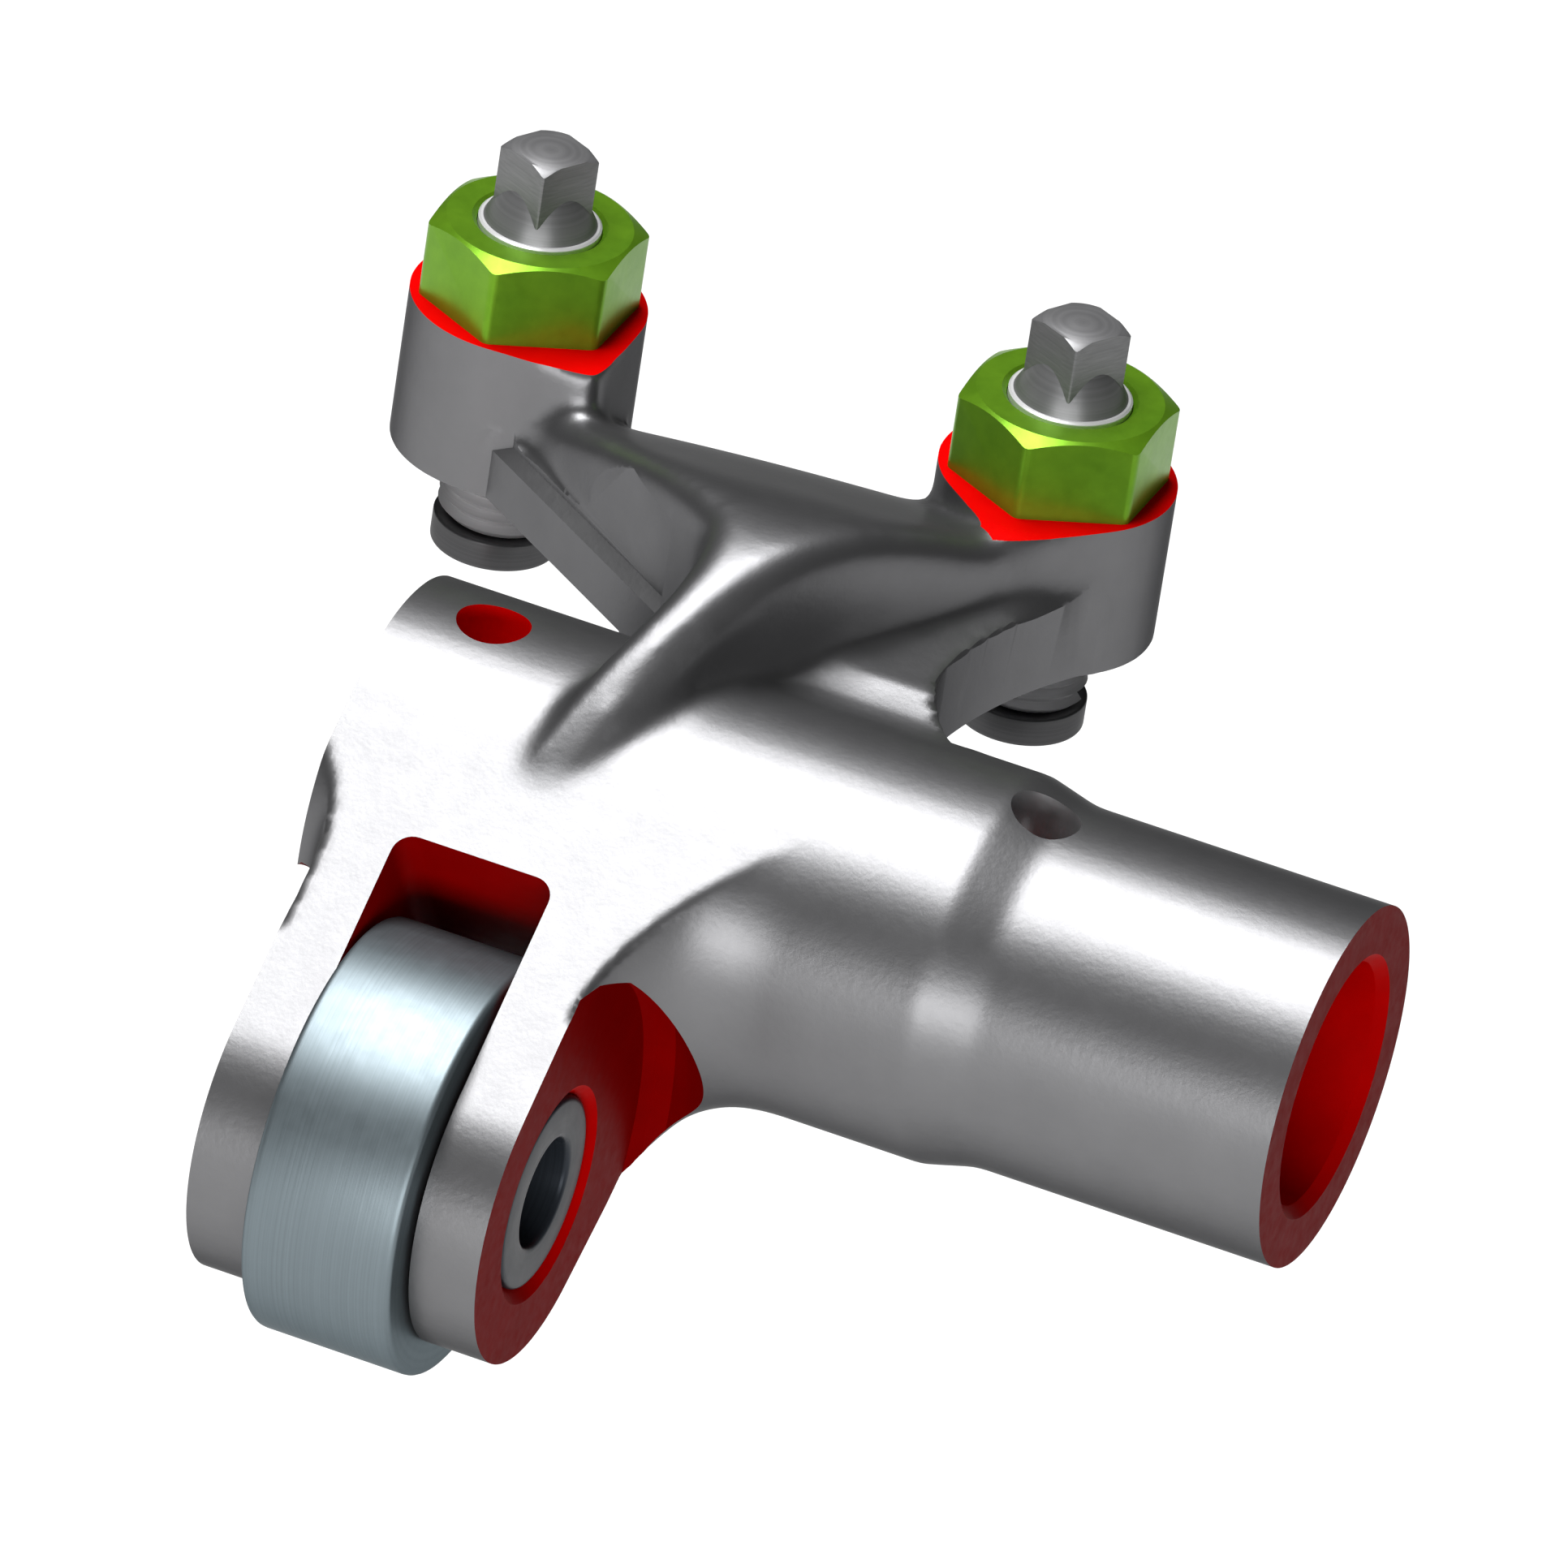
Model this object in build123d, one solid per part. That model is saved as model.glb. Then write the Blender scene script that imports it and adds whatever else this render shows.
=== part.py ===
from build123d import *
import math
import os

# Roller rocker arm for an engine with two valves worked by one cam lobe.
# Frame: origin on the axis of the rocker shaft bore, in the plane of the roller.
# +X runs along the bore to the long end of the hub, +Y runs to the valve side,
# +Z runs up along the adjusting screws. All lengths are in millimetres.

# Hub
BORE_R = 7.0
BORE_CHAMFER = 0.6
HUB_R = 11.2
TUBE_R = 10.4
HUB_LEFT = -10.6
HUB_RIGHT = 46.4
STEP_START = 25.6
STEP_END = 28.6

# Roller, its axle and its needles
AXLE_Y = -17.6
AXLE_Z = -11.7
ROLLER_R = 11.85
ROLLER_HALF_WIDTH = 4.45
ROLLER_BORE_R = 7.6
ROLLER_EDGE = 0.35
AXLE_R = 5.6
AXLE_BORE_R = 3.15
AXLE_HALF_LENGTH = 8.4
AXLE_EDGE = 0.35
NEEDLE_GAP = 0.02
NEEDLE_COUNT = 20
NEEDLE_HALF_LENGTH = 3.9

# Fork that carries the axle
EAR_R = 9.75
EAR_OUT = 8.65
SLOT_SIDE_GAP = 0.27
SLOT_CORNER_R = 1.2
SLOT_END_WALL = 1.15
SPOT_R = 13.0
SPOT_CORNER = 0.6
SPOT_SWEEP_STEP = 3.6
SPOT_SWEEP_R = SPOT_R + SPOT_SWEEP_STEP
EYE_CHAMFER = 0.7
LEFT_FLARE_R = 4.0
RIGHT_FLARE_R = 8.0

# Oil holes in the top of the hub
OIL_LEFT_X = -5.6
OIL_LEFT_R = 2.1
OIL_RIGHT_X = 27.6
OIL_RIGHT_R = 2.0

# Bosses of the adjusting screws
SCREW_X = 16.2
SCREW_Y = 27.7
BOSS_R = 6.75
BOSS_BOTTOM = 6.0
BOSS_TOP = 15.2
LEFT_CORNER_ANGLE = -42.0
RIGHT_CORNER_ANGLE = -86.0

# Spine and branches of the arm between the hub and the bosses
RIDGE_Y = 7.5
RIDGE_Z = 18.2
RIDGE_X = 4.2
LEFT_FALL_ANGLE = 6.5
TIP_X = 0.3
TIP_Y = -9.9
TIP_HALF_WIDTH = 1.2
FORK_POINT = (3.0, 7.2)
ARM_END_Y = 28.0
ARM_HOLLOW = 2.0
TOP_ROUND_R = 1.0
FORK_POINT_R = 2.5

# Thin flanges along the feet of the branches
LEFT_FLANGE_TOP = 9.6
RIGHT_FLANGE_TOP = 11.3
FLANGE_INNER_X = 4.0

# Adjusting screws, lock nuts and swivel feet
THREAD_R = 3.5
THREAD_PITCH = 0.75
THREAD_GAP = 0.05
SCREW_END_CHAMFER = 0.5
NUT_ACROSS_FLATS = 11.0
NUT_HEIGHT = 5.0
NUT_TURN = 29.9
NUT_CHAMFER_ANGLE = 30.0
NUT_FACE_R = 5.3
NUT_SINK = 0.3
SQUARE_ACROSS_FLATS = 4.05
SQUARE_TURN = 61.6
SQUARE_HEIGHT = 4.6
SQUARE_CORNER_DROP = 0.4
SQUARE_TOP_R = 2.2
CONE_FOOT_R = 3.3
CONE_ANGLE = 29.0
FOOT_R = 3.65
FOOT_EDGE = 0.25
FOOT_BOTTOM = -0.5
FOOT_TOP = 1.25
FOOT_GAP = 0.3
NECK_R = 1.5
STUD_R = 2.1
STUD_GAP = 0.06
STUD_SHOULDER = 0.9
STUD_LAND = 1.2

# Lengths that follow from the ones above
AXLE_REACH = math.hypot(AXLE_Y, AXLE_Z)
AXLE_ANGLE = math.degrees(math.atan2(-AXLE_Z, -AXLE_Y))
SLOT_HALF = ROLLER_HALF_WIDTH + SLOT_SIDE_GAP
SLOT_END = AXLE_REACH - BORE_R - SLOT_END_WALL
NEEDLE_ORBIT_R = (AXLE_R + ROLLER_BORE_R) / 2
NEEDLE_R = (ROLLER_BORE_R - AXLE_R) / 2 - NEEDLE_GAP
NUT_TOP = BOSS_TOP + NUT_HEIGHT
NUT_CORNER_R = NUT_ACROSS_FLATS / math.sqrt(3)
NUT_CORNER_DROP = (NUT_CORNER_R - NUT_FACE_R) * math.tan(math.radians(NUT_CHAMFER_ANGLE))
SQUARE_CORNER_R = SQUARE_ACROSS_FLATS / math.sqrt(2)
SQUARE_TOP = NUT_TOP + SQUARE_HEIGHT
CONE_SLOPE = math.tan(math.radians(CONE_ANGLE))
SCREW_BOTTOM = FOOT_TOP + FOOT_GAP
STUD_TOP = FOOT_TOP + STUD_SHOULDER + STUD_LAND


def x_cylinder(x0, x1, r, y=0.0, z=0.0):
    """Cylinder of radius r whose axis runs along X from x0 to x1."""
    plane = Plane(origin=(x0, y, z), x_dir=(0, 1, 0), z_dir=(1, 0, 0))
    return extrude(plane * Circle(r), x1 - x0)


def z_cylinder(z0, z1, r, x, y):
    """Cylinder of radius r whose axis runs along Z from z0 to z1."""
    return Pos(x, y, z0) * extrude(Circle(r), z1 - z0)


def x_lathe(points, y=0.0, z=0.0):
    """Solid turned about an axis along X from (x, radius) corners."""
    profile = make_face(Polyline(*points, close=True))
    return Pos(0, y, z) * revolve(profile, Axis.X)


def z_lathe(points, x, y):
    """Solid turned about a vertical axis through x, y from (radius, height) corners."""
    profile = Plane.XZ * make_face(Polyline(*points, close=True))
    return Pos(x, y, 0) * revolve(profile, Axis.Z)


def prism(points, z0, z1):
    """Straight block over a plan outline given as corner points."""
    return Pos(0, 0, z0) * extrude(make_face(Polyline(*points, close=True)), z1 - z0)


def side_block(outline, x0, x1):
    """Block along X over an outline drawn in the side view, with Y across and Z up."""
    plane = Plane(origin=(x0, 0, 0), x_dir=(0, 1, 0), z_dir=(1, 0, 0))
    return extrude(plane * make_face(Wire(outline)), x1 - x0)


def polar(r, degrees, x=0.0, y=0.0):
    """Point at radius r and the given angle round x, y."""
    a = math.radians(degrees)
    return (x + r * math.cos(a), y + r * math.sin(a))


def fork_outline():
    """Side outline of the fork: the hub circle and the ear circle with their tangents."""
    lean = math.degrees(math.asin((HUB_R - EAR_R) / AXLE_REACH))
    axis = 180.0 + AXLE_ANGLE
    upper = axis - 90.0 + lean
    lower = axis + 90.0 - lean
    corners = [
        polar(HUB_R, upper),
        polar(EAR_R, upper, AXLE_Y, AXLE_Z),
        polar(EAR_R, lower, AXLE_Y, AXLE_Z),
        polar(HUB_R, lower),
    ]
    body = make_face(Polyline(*corners, close=True))
    return body + Circle(HUB_R) + Pos(AXLE_Y, AXLE_Z) * Circle(EAR_R)


def flare_limit():
    """Turned limit that lets the fork run out into the hub in hollow curves."""
    left_far = EAR_OUT + LEFT_FLARE_R
    left_top = HUB_R + LEFT_FLARE_R
    left_rise = math.sqrt(LEFT_FLARE_R**2 - (left_far + HUB_LEFT) ** 2)
    left_end = (HUB_LEFT, left_top - left_rise)
    right_far = EAR_OUT + RIGHT_FLARE_R
    right_top = HUB_R + RIGHT_FLARE_R
    reach = right_top + AXLE_REACH
    outline = [
        RadiusArc((-EAR_OUT, left_top), left_end, LEFT_FLARE_R),
        Line((-EAR_OUT, left_top), (-EAR_OUT, reach)),
        Line((-EAR_OUT, reach), (EAR_OUT, reach)),
        Line((EAR_OUT, reach), (EAR_OUT, right_top)),
        RadiusArc((EAR_OUT, right_top), (right_far, HUB_R), -RIGHT_FLARE_R),
        Line((right_far, HUB_R), (right_far, 0)),
        Line((right_far, 0), (HUB_LEFT, 0)),
        Line((HUB_LEFT, 0), left_end),
    ]
    return revolve(make_face(Wire(outline)), Axis.X)


def hub_body():
    """Outside of the hub with its sloped step down to the long tube."""
    profile = [
        (HUB_LEFT, 0),
        (HUB_LEFT, HUB_R),
        (STEP_START, HUB_R),
        (STEP_END, TUBE_R),
        (HUB_RIGHT, TUBE_R),
        (HUB_RIGHT, 0),
    ]
    return x_lathe(profile)


def fork_body():
    """Fork block with both ears, still without its slot."""
    length = EAR_OUT + RIGHT_FLARE_R - HUB_LEFT
    plane = Plane(origin=(HUB_LEFT, 0, 0), x_dir=(0, 1, 0), z_dir=(1, 0, 0))
    return extrude(plane * fork_outline(), length) & flare_limit()


def boss(side, corner_angle):
    """Round boss of one screw, drawn out to a square corner on the arm side."""
    x = side * SCREW_X
    corner = polar(BOSS_R * math.sqrt(2), corner_angle, x, SCREW_Y)
    points = [
        (x, SCREW_Y),
        polar(BOSS_R, corner_angle - 45, x, SCREW_Y),
        corner,
        polar(BOSS_R, corner_angle + 45, x, SCREW_Y),
    ]
    return z_cylinder(BOSS_BOTTOM, BOSS_TOP, BOSS_R, x, SCREW_Y) + prism(points, BOSS_BOTTOM, BOSS_TOP)


def crest_profile(x, drop):
    """Area under the curved top line of the arm at one station along X."""
    tip = (TIP_Y - 0.1, BOSS_BOTTOM - 0.4)
    rear = (ARM_END_Y + 3.0, RIDGE_Z - 10.6 - drop)
    line = Spline(
        tip,
        (TIP_Y + 5.1, RIDGE_Z - 6.6),
        (0.0, RIDGE_Z - 2.6 - drop),
        (RIDGE_Y, RIDGE_Z - drop),
        (RIDGE_Y + 8.5, RIDGE_Z - 2.3 - drop),
        (SCREW_Y - 3.7, RIDGE_Z - 5.8 - drop),
        rear,
    )
    outline = [
        line,
        Line(rear, (rear[0], 0)),
        Line((rear[0], 0), (tip[0], 0)),
        Line((tip[0], 0), tip),
    ]
    plane = Plane(origin=(x, 0, 0), x_dir=(0, 1, 0), z_dir=(1, 0, 0))
    return plane * make_face(Wire(outline))


def crest_block():
    """Everything under the top surface of the arm, which falls away to the left boss."""
    reach = 1.5 * SCREW_X
    drop = reach * math.tan(math.radians(LEFT_FALL_ANGLE))
    left = crest_profile(RIDGE_X - reach, drop)
    middle = crest_profile(RIDGE_X, 0)
    right = crest_profile(RIDGE_X + reach, 0)
    return loft([left, middle, right])


def arm_plan():
    """Plan area of the arm: spine over the hub, spreading to the two bosses."""
    left_tip = (TIP_X - TIP_HALF_WIDTH, TIP_Y)
    right_tip = (TIP_X + TIP_HALF_WIDTH, TIP_Y)
    left_front = (-SCREW_X, SCREW_Y - 3.2)
    left_back = (-SCREW_X, ARM_END_Y)
    right_front = (SCREW_X + 0.7, SCREW_Y - 9.5)
    right_back = (SCREW_X, ARM_END_Y)
    outline = [
        Line(left_front, FORK_POINT),
        Spline(FORK_POINT, (FORK_POINT[0] + 0.9, 3.6), (FORK_POINT[0] - 0.8, -1.8), left_tip),
        Line(left_tip, right_tip),
        Spline(right_tip, (TIP_X + 7.0, 0.6), (RIDGE_X + 8.0, RIDGE_Y + 1.9), right_front),
        Line(right_front, right_back),
        ThreePointArc(right_back, (0, ARM_END_Y - ARM_HOLLOW), left_back),
        Line(left_back, left_front),
    ]
    area = make_face(Wire(outline))
    corner = area.vertices().sort_by_distance((FORK_POINT[0], FORK_POINT[1], 0))[0]
    return fillet(corner, FORK_POINT_R)


def arm_body():
    """Tall part of the arm under its falling top surface, with a rounded spine."""
    block = Pos(0, 0, BOSS_BOTTOM) * extrude(arm_plan(), RIDGE_Z) & crest_block()
    top = block.faces().sort_by(Axis.Z)[-1]
    spine = top.edges().filter_by(lambda edge: edge.center().Y < RIDGE_Y)
    return chamfer(spine, TOP_ROUND_R)


def left_flange():
    """Thin flange along the foot of the left branch."""
    points = [
        (-SCREW_X, SCREW_Y),
        (-SCREW_X + 0.6, SCREW_Y - 6.0),
        (FORK_POINT[0] - 3.5, FORK_POINT[1] + 3.1),
        (FLANGE_INNER_X, FORK_POINT[1] - 0.2),
        (FLANGE_INNER_X, ARM_END_Y - ARM_HOLLOW),
        (-SCREW_X, ARM_END_Y),
    ]
    return prism(points, BOSS_BOTTOM, LEFT_FLANGE_TOP)


def right_flange():
    """Thicker flange along the foot of the right branch, flared onto the hub."""
    tangent = polar(BOSS_R, -45, SCREW_X, SCREW_Y)
    waist = (SCREW_X + 1.0, 10.6)
    front = (SCREW_X + 4.2, 4.2)
    outline = [
        ThreePointArc(tangent, (SCREW_X + 1.8, 15.6), waist),
        ThreePointArc(waist, (SCREW_X + 1.8, 7.2), front),
        Line(front, (FLANGE_INNER_X, front[1])),
        Line((FLANGE_INNER_X, front[1]), (FLANGE_INNER_X, ARM_END_Y - ARM_HOLLOW)),
        Line((FLANGE_INNER_X, ARM_END_Y - ARM_HOLLOW), (SCREW_X, ARM_END_Y)),
        Line((SCREW_X, ARM_END_Y), tangent),
    ]
    height = RIGHT_FLANGE_TOP - BOSS_BOTTOM
    block = Pos(0, 0, BOSS_BOTTOM) * extrude(make_face(Wire(outline)), height)
    slope = [
        (front[1], BOSS_BOTTOM),
        (front[1], RIGHT_FLANGE_TOP - 1.0),
        (front[1] + 3.2, RIGHT_FLANGE_TOP),
        (ARM_END_Y, RIGHT_FLANGE_TOP),
        (ARM_END_Y, BOSS_BOTTOM),
    ]
    lines = [Line(slope[i], slope[(i + 1) % len(slope)]) for i in range(len(slope))]
    return block & side_block(lines, 0, 2 * SCREW_X)


def roller_slot():
    """Space for the roller between the ears, closed by a flat wall beside the bore."""
    a = math.radians(AXLE_ANGLE)
    plane = Plane(origin=(0, AXLE_Y, AXLE_Z), x_dir=(1, 0, 0), z_dir=(0, -math.sin(a), math.cos(a)))
    length = SLOT_END + 2 * EAR_R
    sketch = Pos(0, SLOT_END - length / 2) * Rectangle(2 * SLOT_HALF, length)
    block = extrude(plane * sketch, 2 * EAR_R, both=True)
    corners = block.edges().filter_by(Axis(plane.origin, plane.z_dir))
    inner = corners.group_by(Axis(plane.origin, plane.y_dir))[-1]
    return fillet(inner, SLOT_CORNER_R)


def spot_faces():
    """Turned cuts that leave the flat outer sides of the ears and a curved wall behind them."""
    wall_end = math.sqrt(SPOT_SWEEP_R**2 - SPOT_R**2)
    half_turn = math.asin(SPOT_R / SPOT_SWEEP_R) / 2
    middle = (SPOT_SWEEP_R * math.cos(half_turn), SPOT_SWEEP_R * math.sin(half_turn))
    outline = [
        Line((EAR_OUT, 0), (EAR_OUT, SPOT_R - SPOT_CORNER)),
        Line((EAR_OUT, SPOT_R - SPOT_CORNER), (EAR_OUT + SPOT_CORNER, SPOT_R)),
        Line((EAR_OUT + SPOT_CORNER, SPOT_R), (wall_end, SPOT_R)),
        ThreePointArc((wall_end, SPOT_R), middle, (SPOT_SWEEP_R, 0)),
        Line((SPOT_SWEEP_R, 0), (EAR_OUT, 0)),
    ]
    cut = Pos(0, AXLE_Y, AXLE_Z) * revolve(make_face(Wire(outline)), Axis.X)
    return cut + mirror(cut, Plane.YZ)


def axle_eyes():
    """Bore through both ears with a chamfer at each outer mouth."""
    wide = AXLE_R + EYE_CHAMFER
    beyond = EAR_OUT + 1.0
    profile = [
        (-beyond, 0),
        (-beyond, wide),
        (-EAR_OUT, wide),
        (-EAR_OUT + EYE_CHAMFER, AXLE_R),
        (EAR_OUT - EYE_CHAMFER, AXLE_R),
        (EAR_OUT, wide),
        (beyond, wide),
        (beyond, 0),
    ]
    return x_lathe(profile, AXLE_Y, AXLE_Z)


def shaft_bore():
    """Bore of the hub with a chamfer at each mouth."""
    wide = BORE_R + BORE_CHAMFER
    profile = [
        (HUB_LEFT - 1.0, 0),
        (HUB_LEFT - 1.0, wide),
        (HUB_LEFT, wide),
        (HUB_LEFT + BORE_CHAMFER, BORE_R),
        (HUB_RIGHT - BORE_CHAMFER, BORE_R),
        (HUB_RIGHT, wide),
        (HUB_RIGHT + 1.0, wide),
        (HUB_RIGHT + 1.0, 0),
    ]
    return x_lathe(profile)


def oil_holes():
    """Two holes from the top of the hub into the bore."""
    left = z_cylinder(0, 2 * HUB_R, OIL_LEFT_R, OIL_LEFT_X, 0)
    right = z_cylinder(0, 2 * HUB_R, OIL_RIGHT_R, OIL_RIGHT_X, 0)
    return left + right


def rocker_arm():
    """The forging with its machined faces and bores."""
    body = hub_body() + fork_body() + arm_body() + left_flange() + right_flange()
    body = body + boss(-1, LEFT_CORNER_ANGLE) + boss(1, RIGHT_CORNER_ANGLE)
    body = body - roller_slot() - spot_faces() - axle_eyes() - shaft_bore() - oil_holes()
    for side in (-1, 1):
        above = z_cylinder(BOSS_TOP, 2 * RIDGE_Z, BOSS_R, side * SCREW_X, SCREW_Y)
        hole = z_cylinder(0, BOSS_TOP + 1.0, THREAD_R + THREAD_GAP, side * SCREW_X, SCREW_Y)
        body = body - above - hole
    return body


def cam_roller():
    """Outer ring of the roller bearing that runs on the cam."""
    profile = [
        (-ROLLER_HALF_WIDTH, ROLLER_BORE_R),
        (-ROLLER_HALF_WIDTH, ROLLER_R - ROLLER_EDGE),
        (-ROLLER_HALF_WIDTH + ROLLER_EDGE, ROLLER_R),
        (ROLLER_HALF_WIDTH - ROLLER_EDGE, ROLLER_R),
        (ROLLER_HALF_WIDTH, ROLLER_R - ROLLER_EDGE),
        (ROLLER_HALF_WIDTH, ROLLER_BORE_R),
    ]
    return x_lathe(profile, AXLE_Y, AXLE_Z)


def needle_rollers():
    """Ring of loose needles between the axle and the roller."""
    needles = []
    for i in range(NEEDLE_COUNT):
        y, z = polar(NEEDLE_ORBIT_R, 360.0 * i / NEEDLE_COUNT, AXLE_Y, AXLE_Z)
        needles.append(x_cylinder(-NEEDLE_HALF_LENGTH, NEEDLE_HALF_LENGTH, NEEDLE_R, y, z))
    return Compound(children=needles)


def roller_axle():
    """Hollow axle held in both ears."""
    profile = [
        (-AXLE_HALF_LENGTH, AXLE_BORE_R),
        (-AXLE_HALF_LENGTH, AXLE_R - AXLE_EDGE),
        (-AXLE_HALF_LENGTH + AXLE_EDGE, AXLE_R),
        (AXLE_HALF_LENGTH - AXLE_EDGE, AXLE_R),
        (AXLE_HALF_LENGTH, AXLE_R - AXLE_EDGE),
        (AXLE_HALF_LENGTH, AXLE_BORE_R),
    ]
    return x_lathe(profile, AXLE_Y, AXLE_Z)


def adjusting_screw(side):
    """Screw with a square drive on a cone above and a socket for the foot in its lower end."""
    x = side * SCREW_X
    shank_top = NUT_TOP - (THREAD_R - CONE_FOOT_R) / CONE_SLOPE
    flat_r = SQUARE_ACROSS_FLATS / 2
    cone_top = NUT_TOP + (CONE_FOOT_R - flat_r) / CONE_SLOPE
    shank = [
        (0, SCREW_BOTTOM),
        (THREAD_R - SCREW_END_CHAMFER, SCREW_BOTTOM),
        (THREAD_R, SCREW_BOTTOM + SCREW_END_CHAMFER),
        (THREAD_R, shank_top),
        (flat_r, cone_top),
        (0, cone_top),
    ]
    head = [
        (0, NUT_TOP),
        (SQUARE_CORNER_R + 0.1, NUT_TOP),
        (SQUARE_CORNER_R + 0.1, SQUARE_TOP - SQUARE_CORNER_DROP),
        (SQUARE_TOP_R, SQUARE_TOP),
        (0, SQUARE_TOP),
    ]
    square = Rot(0, 0, SQUARE_TURN) * Rectangle(SQUARE_ACROSS_FLATS, SQUARE_ACROSS_FLATS)
    drive = Pos(x, SCREW_Y, NUT_TOP) * extrude(square, SQUARE_HEIGHT)
    return z_lathe(shank, x, SCREW_Y) + (drive & z_lathe(head, x, SCREW_Y)) - stud(side, STUD_GAP)


def lock_nut(side):
    """Hexagon lock nut with a chamfered and countersunk upper face."""
    x = side * SCREW_X
    hole = THREAD_R + THREAD_GAP
    profile = [
        (hole, BOSS_TOP),
        (NUT_CORNER_R + 0.1, BOSS_TOP),
        (NUT_CORNER_R + 0.1, NUT_TOP - NUT_CORNER_DROP),
        (NUT_FACE_R, NUT_TOP),
        (hole + NUT_SINK, NUT_TOP),
        (hole, NUT_TOP - NUT_SINK),
    ]
    hexagon = Rot(0, 0, NUT_TURN) * RegularPolygon(NUT_CORNER_R, 6)
    block = Pos(x, SCREW_Y, BOSS_TOP) * extrude(hexagon, NUT_HEIGHT)
    return block & z_lathe(profile, x, SCREW_Y)


def stud(side, gap):
    """Headed stud of a foot, or with a gap around it the socket that holds the stud."""
    shoulder = FOOT_TOP + STUD_SHOULDER - gap
    profile = [
        (0, FOOT_TOP - FOOT_EDGE),
        (NECK_R + gap, FOOT_TOP - FOOT_EDGE),
        (NECK_R + gap, shoulder),
        (STUD_R + gap, shoulder),
        (STUD_R + gap, STUD_TOP + gap),
        (0, STUD_TOP + gap),
    ]
    return z_lathe(profile, side * SCREW_X, SCREW_Y)


def swivel_foot(side):
    """Contact disc that turns under its screw on a headed stud."""
    disc = [
        (0, FOOT_BOTTOM),
        (FOOT_R - FOOT_EDGE, FOOT_BOTTOM),
        (FOOT_R, FOOT_BOTTOM + FOOT_EDGE),
        (FOOT_R, FOOT_TOP),
        (0, FOOT_TOP),
    ]
    return z_lathe(disc, side * SCREW_X, SCREW_Y) + stud(side, 0)


def main():
    os.makedirs("parts", exist_ok=True)
    export_step(rocker_arm(), "parts/rocker_arm.step")
    export_step(cam_roller(), "parts/cam_roller.step")
    export_step(needle_rollers(), "parts/needle_rollers.step")
    export_step(roller_axle(), "parts/roller_axle.step")
    for name, side in (("left", -1), ("right", 1)):
        export_step(adjusting_screw(side), "parts/adjusting_screw_" + name + ".step")
        export_step(lock_nut(side), "parts/lock_nut_" + name + ".step")
        export_step(swivel_foot(side), "parts/swivel_foot_" + name + ".step")


main()
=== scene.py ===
import math

import bmesh
import bpy
import numpy as np
from mathutils import Matrix, Vector


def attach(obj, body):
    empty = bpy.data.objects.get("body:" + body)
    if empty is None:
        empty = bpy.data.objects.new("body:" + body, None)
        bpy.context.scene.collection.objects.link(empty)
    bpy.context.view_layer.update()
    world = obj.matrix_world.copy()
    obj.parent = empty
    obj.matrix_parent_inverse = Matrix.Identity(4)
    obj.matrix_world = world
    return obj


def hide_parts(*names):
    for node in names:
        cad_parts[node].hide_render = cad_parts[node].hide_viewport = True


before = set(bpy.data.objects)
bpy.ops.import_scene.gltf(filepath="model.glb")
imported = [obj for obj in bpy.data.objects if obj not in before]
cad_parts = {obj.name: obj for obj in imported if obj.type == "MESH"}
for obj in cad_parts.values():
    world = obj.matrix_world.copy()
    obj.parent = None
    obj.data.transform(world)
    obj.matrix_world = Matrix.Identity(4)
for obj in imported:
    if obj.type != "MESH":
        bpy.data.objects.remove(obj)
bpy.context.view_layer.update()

# Roller rocker arm: forged body with machined faces, cam roller on needles,
# two adjusting screws with lock nuts and swivel feet.
# Shapes are worked out in millimetres and degrees in the frame of the CAD
# model and written to their meshes in metres.

# A millimetre in metres, and the gap in millimetres under which corners are merged
MM = 0.001
MERGE_GAP = 0.0005

# Spare metal that machining takes off, and how far a bore cutter reaches past a face
MACHINING_SPARE = 1.0
OVERCUT = 1.0

# Hub and bore
BORE_R = 7.0
BORE_CHAMFER = 0.6
HUB_R = 11.2
TUBE_R = 10.4
HUB_LEFT = -10.6
HUB_RIGHT = 46.4
STEP_START = 25.6
STEP_END = 28.6
END_BLOCK_HALF = 13.0
END_BLOCK_DEPTH = 8.0

# Fork, roller and axle
AXLE_Y = -17.6
AXLE_Z = -11.7
EAR_R = 9.75
EAR_OUT = 8.65
LEFT_FLARE_R = 4.0
RIGHT_FLARE_R = 8.0
FLARE_LIP = 0.2
SLOT_HALF = 4.72
SLOT_END = 12.984
SLOT_CORNER_R = 1.2
SPOT_R = 13.0
SPOT_CORNER = 0.6
SPOT_SWEEP_R = 16.6
EAR_STOCK_R = SPOT_R - 1.6
EYE_CHAMFER = 0.7
ROLLER_R = 11.85
ROLLER_HALF_WIDTH = 4.45
ROLLER_BORE_R = 7.6
AXLE_R = 5.6
AXLE_BORE_R = 3.15
AXLE_HALF_LENGTH = 8.4
NEEDLE_COUNT = 20
NEEDLE_R = 0.98
NEEDLE_LENGTH = 7.8
NEEDLE_ORBIT_R = 6.6
AXLE_REACH = math.hypot(AXLE_Y, AXLE_Z)
AXLE_ANGLE = math.atan2(-AXLE_Z, -AXLE_Y)

# Axes that pieces and cuts are turned about: direction and a point on it
HUB_AXIS = ("X", (0, 0, 0))
AXLE_AXIS = ("X", (0, AXLE_Y, AXLE_Z))

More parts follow.
